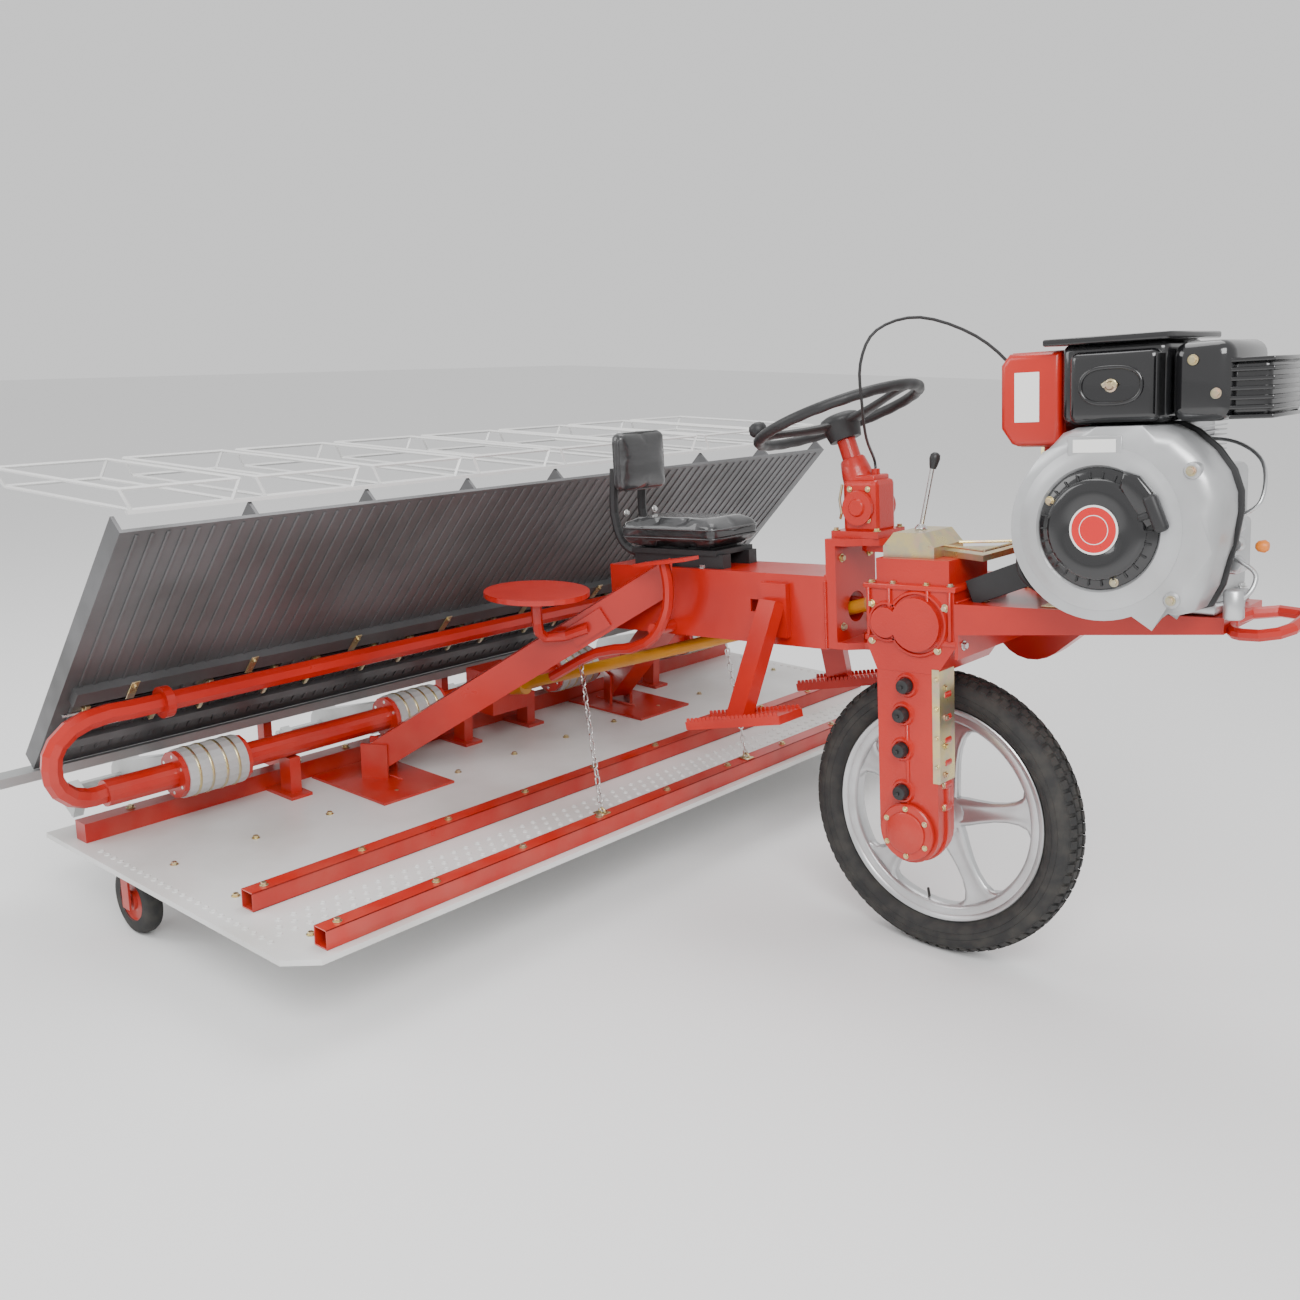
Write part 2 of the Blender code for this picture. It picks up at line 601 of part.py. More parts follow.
def hand_wheel():
    frame = empty("hand_wheel_axis", (HAND_WHEEL_X, 0, HAND_WHEEL_Z), AXLE, tilt=-COLUMN_LEAN)
    shape = bpy.data.meshes.new("hand_wheel")
    ring = bmesh.new()
    bmesh.ops.create_circle(ring, radius=HAND_WHEEL_GRIP, segments=7)
    bmesh.ops.rotate(ring, cent=(0, 0, 0), matrix=Matrix.Rotation(pi / 2, 3, "X"), verts=ring.verts)
    bmesh.ops.translate(ring, vec=(HAND_WHEEL_RADIUS, 0, 0), verts=ring.verts)
    bmesh.ops.spin(ring, geom=ring.edges[:], cent=(0, 0, 0), axis=(0, 0, 1), angle=2 * pi, steps=28,
                   use_merge=True, use_duplicate=False)
    bmesh.ops.recalc_face_normals(ring, faces=ring.faces)
    ring.to_mesh(shape)
    ring.free()
    wheel = finish(bpy.data.objects.new("hand_wheel", shape), frame, black, smooth=True)
    hub = cylinder("hand_wheel_hub", 0.034, 0.045, (0, 0, 0.0225 - HAND_HUB_DEPTH), frame, sides=24)
    pad = cylinder("hand_wheel_pad", 0.045, 0.018, (0, 0, -0.006), frame, sides=24)
    spokes = [rod(f"hand_wheel_spoke_{k}", 0.010, (0.02 * cos(turn), 0.02 * sin(turn), -0.016),
                  (HAND_WHEEL_RADIUS * cos(turn), HAND_WHEEL_RADIUS * sin(turn), -0.002), frame, sides=10)
              for k, turn in enumerate((radians(0), radians(125), radians(235)))]
    knob_turn = radians(200)
    knob = cylinder("hand_wheel_knob", 0.020, 0.045, (HAND_WHEEL_RADIUS * cos(knob_turn),
                                                     HAND_WHEEL_RADIUS * sin(knob_turn), 0.030), frame, sides=16)
    join(wheel, hub, pad, knob, *spokes)


steering_bracket()
steering_box()
hand_wheel()


# ---- Beam, legs, seat and footrests ---------------------------------------------------------------------

def main_beam():
    length = BEAM_FRONT - BEAM_REAR
    centre = (BEAM_FRONT + BEAM_REAR) / 2
    beam = box("main_beam", (length, BEAM_SIZE, BEAM_SIZE), (centre, 0, BEAM_TOP - BEAM_SIZE / 2), AXLE, red)
    inside = box("beam_inside", (length - 2 * BEAM_WALL, BEAM_SIZE - 2 * BEAM_WALL, BEAM_SIZE),
                 (centre, 0, BEAM_TOP - BEAM_SIZE / 2 - BEAM_WALL), AXLE)
    window = cylinder("beam_shaft_hole", 0.034, 0.08, (BEAM_FRONT, 0, DRIVE_HEIGHT - 0.008), AXLE, axis="X", sides=24)
    hole = box("beam_side_hole", (0.028, 2 * BEAM_SIZE, 0.028), (-0.42, 0, BEAM_TOP - 0.075), AXLE)
    cut(beam, inside, window, hole)


def legs():
    for side, name in ((-1, "right"), (1, "left")):
        top = (LEG_TOP[0], side * LEG_TOP[1], LEG_TOP[2])
        foot = (LEG_FOOT[0], side * LEG_FOOT[1], LEG_FOOT[2])
        leg = bar(f"{name}_leg", LEG_SECTION, foot, top, FLOOR, red)
        room = box(f"{name}_leg_end", (2 * (BEAM_FRONT - BEAM_REAR), BEAM_SIZE + 2 * GAP, 2 * BEAM_SIZE),
                   (BEAM_FRONT, 0, BEAM_TOP - GAP), AXLE)
        cut(leg, room)
        plate_z = BOARD_TOP + GAP + PLATE_SIZE[2] / 2
        base = box(f"{name}_base_plate", PLATE_SIZE, (-1.33, side * 0.47, plate_z), FLOOR, red)
        turn = atan2(top[1] - foot[1], top[0] - foot[0])
        ears = []
        for k in (-1, 1):
            away = k * (LEG_SECTION[1] / 2 + GAP + EAR_THICKNESS / 2)
            ear = box(f"{name}_ear_{k}", (0.07, EAR_THICKNESS, 0.095),
                      (foot[0] - away * sin(turn), foot[1] + away * cos(turn), plate_z + 0.047), FLOOR)
            ear.rotation_euler = (0, 0, turn)
            ears.append(ear)
        join(base, *ears)


def helper_seats():
    """Each seat's post stands on a pad against its leg's outer side."""
    for side, name in ((-1, "right"), (1, "left")):
        top = Vector((LEG_TOP[0], side * LEG_TOP[1], LEG_TOP[2]))
        foot = Vector((LEG_FOOT[0], side * LEG_FOOT[1], LEG_FOOT[2]))
        along = (top - foot).normalized()
        outward = along.cross(Vector((0, 0, 1))).normalized() * -side
        off = outward * (LEG_SECTION[1] / 2 + GAP + 0.005)
        middle = foot + (top - foot) * 0.72 + off
        pad = bar(f"{name}_helper_pad", (0.05, 0.010), middle - along * 0.05, middle + along * 0.05, FLOOR)
        x, y, z = HELPER_SEAT
        disc = cylinder(f"{name}_helper_seat", 0.125, 0.012, (x, side * y, z), FLOOR, red, sides=28)
        post = tube(f"{name}_helper_post", [(x, side * y, z), (x, side * y, z - 0.07),
                                            (x - 0.01, side * (y - 0.035), z - 0.115), tuple(middle + outward * 0.013)],
                    0.013, FLOOR, resolution=2)
        join(disc, post, pad)


def seat():
    back_x = SEAT_FRONT - SEAT_LENGTH
    frame = box("seat_frame", (0.26, 0.14, 0.012), (SEAT_FRONT - 0.15, 0, BEAM_TOP + 0.030 + 0.006), AXLE, black)
    runners = [box(f"seat_runner_{k}", (0.27, 0.03, 0.032), (SEAT_FRONT - 0.14, side * 0.05, BEAM_TOP + GAP + 0.016),
                   AXLE) for k, side in enumerate((-1, 1))]
    cushion_low = SEAT_TOP - SEAT_THICKNESS
    support = box("seat_support", (0.20, 0.10, cushion_low - GAP - BEAM_TOP - 0.036),
                  (SEAT_FRONT - 0.15, 0, (cushion_low - GAP + BEAM_TOP + 0.036) / 2), AXLE)
    uprights = [tube(f"seat_upright_{k}", [(SEAT_FRONT - 0.12, side * 0.052, BEAM_TOP + 0.034),
                                           (back_x + 0.01, side * 0.052, BEAM_TOP + 0.034),
                                           (back_x - 0.030, side * 0.052, BEAM_TOP + 0.085),
                                           (back_x - 0.030, side * 0.052, SEAT_TOP + 0.12)], 0.011, AXLE,
                     resolution=4) for k, side in enumerate((-1, 1))]
    join(frame, *runners, support, *uprights)
    cushion = box("seat_cushion", (SEAT_LENGTH, SEAT_WIDTH, SEAT_THICKNESS),
                  (SEAT_FRONT - SEAT_LENGTH / 2, 0, SEAT_TOP - SEAT_THICKNESS / 2), AXLE, vinyl, bevel=0.015)
    rest = box("seat_back", (0.05, 0.175, 0.15), (back_x - 0.030 + 0.011 + 0.025 + GAP, 0, SEAT_TOP + 0.115 + 0.02),
               AXLE, vinyl, bevel=0.015)
    return cushion, rest


def footrests():
    for side, name in ((-1, "right"), (1, "left")):
        pitch = radians(10)
        step = box(f"{name}_footrest", (0.26, 0.085, 0.018), (-0.365, side * 0.215, 0.205), AXLE, red,
                   rotation=(0, -pitch, 0))
        strut = bar(f"{name}_footrest_strut", (0.03, 0.055), (-0.385, side * 0.205, 0.20),
                    (-0.36, side * (BEAM_SIZE / 2 + 0.020), BEAM_TOP - 0.06), AXLE)
        pad = box(f"{name}_footrest_pad", (0.07, 0.016, 0.12), (-0.36, side * (BEAM_SIZE / 2 + 0.008 + GAP),
                                                             BEAM_TOP - 0.08), AXLE)
        join(step, strut, pad)


def lift_lever():
    points = [(-1.02, -0.165, 0.455), (-0.875, -0.150, 0.540), (-0.72, -0.145, 0.590), (-0.665, -0.145, 0.66),
              (-0.655, -0.145, 0.73), (-0.67, -0.145, 0.79)]
    lever = tube("lift_lever", points, 0.013, FLOOR, red, resolution=3)
    pedal = box("lift_pedal", (0.16, 0.05, 0.008), (-0.665, -0.145, 0.790), FLOOR, rotation=(0, radians(-12), 0))
    boss = cylinder("lift_boss", 0.015, 0.150 - BEAM_SIZE / 2 - GAP, (-0.698, -(0.150 + BEAM_SIZE / 2 + GAP) / 2, 0.624),
                    FLOOR, axis="Y", sides=20)
    join(lever, pedal, boss)


main_beam()
legs()
seat()
footrests()
lift_lever()
helper_seats()


# ---- Float board ----------------------------------------------------------------------------------------

def float_board():
    w, c = BOARD_HALF_WIDTH, BOARD_CORNER
    outline = [(BOARD_REAR, -w), (BOARD_FRONT - c, -w), (BOARD_FRONT, -w + c), (BOARD_FRONT, w - c),
               (BOARD_FRONT - c, w), (BOARD_REAR, w)]
    plate("float_board", outline, BOARD_THICKNESS, (0, 0, BOARD_TOP - BOARD_THICKNESS / 2), FLOOR, white, facing="Z")
    for name, x in RAIL_PLACES:
        box(name, (RAIL_SIZE, 2 * RAIL_HALF_LENGTH, RAIL_SIZE), (x, 0, BOARD_TOP + GAP + RAIL_SIZE / 2), FLOOR, red)


def chains():
    """One taut bar for each chain: from the lift lever, and from under the main beam, down to the front rail."""
    low = BOARD_TOP + 2 * GAP + RAIL_SIZE
    lever, foot = Vector((-0.930, -0.155, 0.511)), Vector((-0.685, -0.340, low + 0.0034))
    bar("right_chain", (0.008, 0.020), lever + (foot - lever).normalized() * 0.0137, foot, FLOOR, steel)
    bar("left_chain", (0.008, 0.020), (-0.660, 0.070, 0.6040), (-0.675, 0.200, low + 0.0018), FLOOR, steel)


def support_wheels():
    for side, name in ((-1, "right"), (1, "left")):
        y = side * REAR_WHEEL_Y
        z = REAR_WHEEL_RADIUS
        frame = empty(f"{name}_wheel_axis", (REAR_WHEEL_X, y, z), FLOOR)
        half = REAR_TREAD / 2
        turned(f"{name}_support_wheel", [(0.008, half + 0.002), (0.022, half + 0.002), (0.022, half - 0.008),
                                         (0.045, half - 0.008), (0.048, half), (z - 0.008, half), (z, half - 0.008),
                                         (z, -half + 0.008), (z - 0.008, -half), (0.048, -half),
                                         (0.045, -half + 0.008), (0.022, -half + 0.008), (0.022, -half - 0.002),
                                         (0.008, -half - 0.002)],
               frame, rubber, rotation=(pi / 2, 0, 0), steps=20, closed=True)
        low = BOARD_TOP - BOARD_THICKNESS - GAP
        fork = box(f"{name}_wheel_fork", (0.05, 0.062, 0.006), (REAR_WHEEL_X, y, low - 0.003), FLOOR, red)
        blades = [box(f"{name}_fork_blade_{k}", (0.03, 0.005, low - z + 0.015), (REAR_WHEEL_X, y + offset,
                                                                          (low - 0.002 + z - 0.015) / 2), FLOOR)
                  for k, offset in enumerate((-0.0285, 0.0285))]
        pin = cylinder(f"{name}_wheel_pin", 0.0072, 0.060, (REAR_WHEEL_X, y, z), FLOOR, axis="Y", sides=16)
        join(fork, *blades, pin)


float_board()
chains()
support_wheels()


# ---- Planter --------------------------------------------------------------------------------------------

def base_beam():
    z = BOARD_TOP + GAP + BASE_BEAM_SIZE / 2
    beam = box("base_beam", (BASE_BEAM_SIZE, 2 * 1.17, BASE_BEAM_SIZE), (BASE_BEAM_X, 0, z), FLOOR, red)
    rail_x = tray_foot_x - 0.005
    rail_low = slide_rail_top - SLIDE_RAIL_SIZE[1] - GAP
    arms = []
    for k, y in enumerate((-0.6, 0.0, 0.6)):
        arms.append(box(f"rail_arm_{k}", (BASE_BEAM_X - rail_x + 0.02, 0.03, 0.03),
                        ((BASE_BEAM_X + rail_x - 0.02) / 2, y, z + 0.004), FLOOR))
        arms.append(box(f"rail_upright_{k}", (0.03, 0.024, rail_low - z), (rail_x - 0.005, y, (rail_low + z) / 2), FLOOR))
    seats = []
    foot_end = CASE_X + 0.045
    top = CASE_Z - CROSS_TUBE_RADIUS - GAP
    for k, y in enumerate((-0.68, -0.12, 0.12, 0.68)):
        seats.append(box(f"tube_post_{k}", (0.045, 0.03, top - BOARD_TOP - GAP), (CASE_X, y, (top + BOARD_TOP + GAP) / 2),
                         FLOOR))
        seats.append(box(f"tube_foot_{k}", (foot_end - BASE_BEAM_X, 0.06, 0.008),
                         ((foot_end + BASE_BEAM_X) / 2, y, BOARD_TOP + GAP + 0.004), FLOOR))
    join(beam, *arms, *seats)


def cross_tube():
    tube_piece = cylinder("cross_tube", CROSS_TUBE_RADIUS, 2 * CROSS_TUBE_END, (CASE_X, 0, CASE_Z), FLOOR, red,
                          axis="Y", sides=16)
    flanges = [cylinder(f"tube_flange_{k}", 0.055, 0.012, (CASE_X, y + side * (CASE_HALF_WIDTH + 0.006 + GAP), CASE_Z),
                        FLOOR, axis="Y", sides=12)
               for k, (y, side) in enumerate((y, side) for _, y in CASE_PLACES for side in (-1, 1))]
    join(tube_piece, *flanges)
    for name, y in CASE_PLACES:
        body = cylinder(name, CASE_RADIUS, 2 * CASE_HALF_WIDTH, (CASE_X, y, CASE_Z), FLOOR, silver, axis="Y", sides=20)
        start, end = (CASE_X, y, CASE_Z), (CASE_X - CASE_REACH, y, CASE_Z - CASE_DROP)
        arm = bar(f"{name}_arm", (0.075, CASE_ARM), start, end, FLOOR)
        tip = cylinder(f"{name}_tip", 0.045, CASE_ARM, end, FLOOR, axis="Y", sides=16)
        shaft = cylinder(f"{name}_shaft", 0.012, 2 * CLAW_OFFSET + 0.03, end, FLOOR, axis="Y", sides=8)
        claws = []
        for side in (-1, 1):
            claw_y = y + side * CLAW_OFFSET
            claws.append(bar(f"{name}_claw_arm_{side}", (0.05, 0.026), (end[0] + 0.035, claw_y, end[2] + 0.012),
                             (CLAW_X - 0.005, claw_y, end[2] - 0.055), FLOOR))
            claws.append(bar(f"{name}_claw_{side}", (0.012, 0.014), (CLAW_X - 0.002, claw_y, end[2] - 0.04),
                             (CLAW_X, claw_y, CLAW_TIP_Z), FLOOR))
        join(body, arm, tip, shaft, *claws)
        bore = cylinder(f"{name}_bore", CROSS_TUBE_RADIUS + GAP, 0.3, start, FLOOR, axis="Y", sides=16)
        cut(body, bore)


def drive_line():
    """The shaft runs from the gearbox's stub, through the bracket and under the beam, to the planter's drive box.
    Its universal joint with the stub is on the steering axis."""
    cut(box("drive_box", (0.11, 0.13, 0.12), (CASE_X + 0.01, 0, CASE_Z + 0.005), FLOOR, red),
        cylinder("drive_box_bore", CROSS_TUBE_RADIUS + GAP, 0.3, (CASE_X, 0, CASE_Z), FLOOR, axis="Y", sides=16))
    front = level((PIVOT_X - 0.026, 0, DRIVE_HEIGHT - 0.002))
    rear = (CASE_X + 0.065 + 0.0148, 0, CASE_Z + 0.020)
    shaft = rod("drive_shaft", 0.015, front, rear, FLOOR, orange, sides=20)
    joint = rod("drive_joint", 0.024, (rear[0] - 0.0097, 0, rear[2]), (rear[0] + 0.05, 0, rear[2] + 0.012), FLOOR,
                sides=20)
    join(shaft, joint)


def tray():
    """One sheet with nine walls, all running down the slope. Its own axes are across, up the slope and square
    to the sheet on the loading side, which faces the rear."""
    half = COLUMNS * COLUMN_PITCH / 2
    middle = ((TRAY_TOP_X + tray_foot_x) / 2, 0, (TRAY_TOP_Z + tray_foot_z) / 2)
    slope = empty("tray_slope", middle, FLOOR, tilt=-TRAY_SLOPE)
    sheet = box("seedling_tray", (TRAY_LENGTH, 2 * half + TRAY_WALL, TRAY_SHEET), (0, 0, 0), slope, steel)
    walls = [box(f"tray_wall_{k}", (TRAY_LENGTH, TRAY_WALL, TRAY_WALL_HEIGHT), (0, -half + k * COLUMN_PITCH,
                                                                              TRAY_WALL_HEIGHT / 2), slope)
             for k in range(COLUMNS + 1)]
    low = -TRAY_SHEET / 2
    channel = box("tray_channel", (0.045, 2 * half - 0.04, 0.022), (-0.12, 0, low - 0.010), slope)
    lower = box("tray_lower_rail", (0.03, 2 * half - 0.04, 0.016), (-0.30, 0, low - 0.007), slope)
    join(sheet, *walls, channel, lower)
    return slope


def slide_rail():
    depth, height = SLIDE_RAIL_SIZE
    box("slide_rail", (depth, 2 * (COLUMNS * COLUMN_PITCH / 2 + TRAY_TRAVEL + 0.03), height),
        (tray_foot_x - 0.005, 0, slide_rail_top - height / 2), FLOOR, silver)


def throttle_cable():
    """A stiff cable that arches from the steering box, where it starts on the steering axis, clear of the hand
    wheel to the back of the engine."""
    route = [(PIVOT_X, 0, 0.7312), (PIVOT_X, -0.006, 0.752), (-0.100, -0.115, 0.800), (-0.055, -0.200, 0.865),
             (-0.035, -0.235, 0.945), (-0.010, -0.215, 1.005), (0.040, -0.140, 1.025), (0.115, -0.062, 0.985),
             (0.175, -0.018, 0.915), (0.212, 0.002, 0.830), (0.222, 0.008, 0.760), (0.258, 0.010, 0.712),
             (0.3190, 0.010, 0.700)]
    places = [Vector(place) for place in route]
    places = [2 * places[0] - places[1]] + places + [2 * places[-1] - places[-2]]
    points = []
    for before, first, second, after in zip(places, places[1:], places[2:], places[3:]):
        for step in range(4):
            t = step / 4
            points.append(0.5 * (2 * first + (second - before) * t + (2 * before - 5 * first + 4 * second - after) * t ** 2
                                 + (3 * first - before - 3 * second + after) * t ** 3))
    points.append(places[-2])
    tube("throttle_cable", points, 0.003, POWER, black, smooth=False)


def support_tube():
    low_x, low_z = CASE_X, CASE_Z
    side_y = 1.262
    half = [(low_x, CROSS_TUBE_END + GAP, low_z), (low_x, 1.19, low_z), (low_x + 0.005, side_y - 0.015, low_z + 0.035),
            (low_x + 0.010, side_y, (low_z + HOOP_Z) / 2), (HOOP_X, side_y - 0.015, HOOP_Z - 0.04),
            (HOOP_X, 1.18, HOOP_Z - 0.003), (HOOP_X, 1.08, HOOP_Z)]
    points = half + [(x, -y, z) for x, y, z in reversed(half)]
    hoop = tube("tray_support_tube", points, HOOP_RADIUS, FLOOR, red, resolution=2)
    flanges = [cylinder(f"hoop_flange_{k}", 0.036, 0.02, (HOOP_X, y, HOOP_Z), FLOOR, axis="Y", sides=20)
               for k, y in enumerate((-1.0, 1.0))]
    join(hoop, *flanges)


def racks():
    front = TRAY_TOP_X - TRAY_WALL_HEIGHT * sin(TRAY_SLOPE)
    wires = []
    low = TRAY_TOP_Z + TRAY_WALL_HEIGHT * cos(TRAY_SLOPE) + GAP + 0.0075
    bar_piece = box("spare_mat_racks", (0.012, COLUMNS * COLUMN_PITCH - 0.06, 0.008), (front, 0, low - 0.0035), FLOOR,
                    wire)
    for k in range(COLUMNS):
        y = (k + 0.5 - COLUMNS / 2) * COLUMN_PITCH
        half = RACK_WIDTH / 2
        rear = front - RACK_LENGTH
        for height, inset in ((low + RACK_HEIGHT, 0.0), (low, 0.02)):
            wires.append(tube(f"rack_loop_{k}_{height:.2f}", [(front, y - half + inset, height),
                                                              (front, y + half - inset, height),
                                                              (rear, y + half - inset, height),
                                                              (rear, y - half + inset, height)], RACK_WIRE, FLOOR,
                              cyclic=True, smooth=False, sides=0))
        for x in (front, rear):
            for side in (-1, 1):
                wires.append(rod(f"rack_end_{k}_{x:.1f}_{side}", RACK_WIRE, (x, y + side * half, low + RACK_HEIGHT),
                                 (x, y + side * (half - 0.02), low), FLOOR, sides=4))
    join(bar_piece, *wires)


base_beam()
cross_tube()
drive_line()
tray()
slide_rail()
throttle_cable()
support_tube()
racks()
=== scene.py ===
"""Rice transplanter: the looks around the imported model, in metres."""

import json
from math import atan2, cos, hypot, pi, radians, sin

import bmesh
import bpy
from mathutils import Matrix, Vector


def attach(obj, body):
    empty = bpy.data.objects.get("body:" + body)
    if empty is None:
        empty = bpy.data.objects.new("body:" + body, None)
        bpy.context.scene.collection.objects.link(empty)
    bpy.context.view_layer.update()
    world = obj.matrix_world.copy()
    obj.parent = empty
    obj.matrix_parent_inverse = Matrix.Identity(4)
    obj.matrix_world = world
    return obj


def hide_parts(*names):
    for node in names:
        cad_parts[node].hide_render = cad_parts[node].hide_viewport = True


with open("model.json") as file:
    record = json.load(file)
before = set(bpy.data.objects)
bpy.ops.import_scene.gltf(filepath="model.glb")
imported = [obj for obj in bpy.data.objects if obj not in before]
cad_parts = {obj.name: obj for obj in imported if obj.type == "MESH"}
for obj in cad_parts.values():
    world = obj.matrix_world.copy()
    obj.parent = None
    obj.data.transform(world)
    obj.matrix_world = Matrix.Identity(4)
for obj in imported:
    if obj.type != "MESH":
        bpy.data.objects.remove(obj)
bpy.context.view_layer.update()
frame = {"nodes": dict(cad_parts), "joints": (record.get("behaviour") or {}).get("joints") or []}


# ---- Camera, lights and floor ---------------------------------------------------------------------------
# A plain pale floor under soft light. The camera stands at the right front corner of the machine, at the
# height of a standing person's chest.

joints = {joint["name"]: joint for joint in frame["joints"]}
axle_point = Vector(joints["front_wheel_spin"]["pos_m"])
lean = Vector(joints["steering"]["axis"])
nose_up = atan2(-lean.x, lean.z)
LEVEL = Matrix.Translation((axle_point.x, 0, 0))
TILTED = Matrix.Translation(axle_point) @ Matrix.Rotation(-nose_up, 4, "Y")

VIEW_YAW = radians(130.93)
VIEW_PITCH = radians(14.01)
VIEW_ROLL = radians(0.32)
look = Vector((cos(VIEW_YAW) * cos(VIEW_PITCH), sin(VIEW_YAW) * cos(VIEW_PITCH), -sin(VIEW_PITCH)))
across = look.cross(Vector((0, 0, 1))).normalized()
upward = across.cross(look)
rolled_across = cos(VIEW_ROLL) * across + sin(VIEW_ROLL) * upward
rolled_up = -sin(VIEW_ROLL) * across + cos(VIEW_ROLL) * upward
camera = bpy.data.objects.new("camera", bpy.data.cameras.new("camera"))
bpy.context.scene.collection.objects.link(camera)
turn = Matrix((rolled_across, rolled_up, -look)).transposed()
camera.matrix_world = Matrix.Translation(LEVEL @ Vector((1.241, -2.395, 1.316))) @ turn.to_4x4()
camera.data.sensor_width = 36
camera.data.lens = 35.95
camera.data.clip_start = 0.05
bpy.context.scene.camera = camera

world = bpy.data.worlds.new("pale studio")
world.use_nodes = True
world.node_tree.nodes["Background"].inputs["Color"].default_value = (1, 1, 1, 1)
world.node_tree.nodes["Background"].inputs["Strength"].default_value = 0.95
bpy.context.scene.world = world
for name, place, size, power in (("key light", (2.6, -3.0, 3.4), 2.2, 170),
        ("fill light", (-3.5, -3.2, 2.8), 2.5, 70), ("top light", (-0.6, 0.8, 4.5), 3.0, 90)):
    lamp = bpy.data.objects.new(name, bpy.data.lights.new(name, "AREA"))
    lamp.data.size = size
    lamp.data.energy = power
    aim = (Vector(place) - Vector((0, 0, 0.5))).to_track_quat("Z", "Y")
    lamp.matrix_world = Matrix.Translation(place) @ aim.to_matrix().to_4x4()
    bpy.context.scene.collection.objects.link(lamp)


class Value:
    """One socket of a shader; arithmetic on it adds Math nodes."""

    def __init__(self, finish, socket):
        self.finish = finish
        self.socket = socket

    def combine(self, operation, first, second):
        return self.finish.node("ShaderNodeMath", {"operation": operation}, {0: first, 1: second})

    def __add__(self, other):
        return self.combine("ADD", self, other)

    def __radd__(self, other):
        return self.combine("ADD", other, self)

    def __rsub__(self, other):
        return self.combine("SUBTRACT", other, self)

    def __mul__(self, other):
        return self.combine("MULTIPLY", self, other)

    def __rmul__(self, other):
        return self.combine("MULTIPLY", other, self)


class Finish:
    """A Principled material; sockets that don't vary are set by name."""

    def __init__(self, name, colour, roughness, **fixed):
        self.material = bpy.data.materials.new(name)
        self.material.use_nodes = True
        self.tree = self.material.node_tree
        self.shader = self.tree.nodes["Principled BSDF"]
        self.shader.inputs["Base Color"].default_value = (*colour, 1)
        self.shader.inputs["Roughness"].default_value = roughness
        for socket, value in fixed.items():
            self.shader.inputs[socket.replace("_", " ")].default_value = value
        self.material.diffuse_color = (*colour, 1)
        self.place = self.node("ShaderNodeTexCoord", output="Object")

    def node(self, kind, settings=None, sockets=None, output=0):
        made = self.tree.nodes.new(kind)
        for key, value in (settings or {}).items():
            setattr(made, key, value)
        for key, value in (sockets or {}).items():
            if isinstance(value, Value):
                self.tree.links.new(value.socket, made.inputs[key])
            else:
                made.inputs[key].default_value = value
        return Value(self, made.outputs[output])

    def feed(self, socket, value):
        self.tree.links.new(value.socket, self.shader.inputs[socket])

    def noise(self, scale, detail=3, stretch=None):
        where = self.place
        if stretch:
            where = self.node("ShaderNodeMapping", {}, {"Vector": self.place, "Scale": stretch})
        return self.node("ShaderNodeTexNoise", {}, {"Vector": where, "Scale": scale, "Detail": detail})

    def step(self, value, low, high):
        """0 below low, 1 above high."""
        return self.node("ShaderNodeMapRange", {"clamp": True}, {"Value": value, "From Min": low,
            "From Max": high})

    def mixed(self, factor, first, second):
        made = self.tree.nodes.new("ShaderNodeMix")
        made.data_type = "RGBA"
        for key, value in ((0, factor), (6, first), (7, second)):
            if isinstance(value, Value):
                self.tree.links.new(value.socket, made.inputs[key])
            else:
                made.inputs[key].default_value = value if key == 0 else (*value, 1)
        return Value(self, made.outputs[2])

    def bump(self, height, strength, distance):
        self.feed("Normal", self.node("ShaderNodeBump", {}, {"Height": height, "Strength": strength,
            "Distance": distance}, output="Normal"))


def mesh_of(name, shape):
    data = bpy.data.meshes.new(name)
    shape.to_mesh(data)
    shape.free()
    return data


floor_finish = Finish("pale floor", (0.86, 0.86, 0.86), 0.85)
floor_shape = bmesh.new()
bmesh.ops.create_grid(floor_shape, x_segments=1, y_segments=1, size=30)
floor_mesh = mesh_of("floor", floor_shape)
floor_mesh.materials.append(floor_finish.material)
floor = bpy.data.objects.new("floor", floor_mesh)
floor.location = (0, 0, -0.001)
bpy.context.scene.collection.objects.link(floor)


# ---- Welded steelwork -----------------------------------------------------------------------------------
# The beam, legs, plates, tubes and rails are mild steel, welded and sprayed with one thick coat of red
# enamel. It is a little uneven where it ran, and dull with dust near the ground.

def enamel(name, colour, dark, roughness, grain, depth):
    made = Finish(name, colour, roughness, Coat_Weight=0.22, Coat_Roughness=0.12)
    cloud = made.noise(5.0, 4)
    speckle = made.noise(grain, 3)
    shade = made.mixed(made.step(cloud, 0.35, 0.75), colour, dark)
    height = made.node("ShaderNodeSeparateXYZ", {}, {"Vector": made.place}, output="Z")
    dust = (1 - made.step(height, 0.02, 0.45)) * made.step(made.noise(14, 5), 0.35, 0.7) * 0.22
    made.feed("Base Color", made.mixed(dust, shade, (0.42, 0.30, 0.22)))
    made.feed("Roughness", cloud * 0.16 + dust * 0.8 + (roughness - 0.08))
    made.bump(speckle, depth, 0.001)
    return made.material


RED = (0.50, 0.014, 0.005)
RED_DARK = (0.38, 0.009, 0.004)
red_enamel = enamel("red enamel", RED, RED_DARK, 0.30, 160, 0.10)
cast_red = enamel("red enamel on castings", RED, RED_DARK, 0.34, 260, 0.55)

def paint(surface, *nodes):
    """Gives CAD nodes that stay in view one material each."""
    for node in nodes:
        frame["nodes"][node].data.materials.clear()
        frame["nodes"][node].data.materials.append(surface)


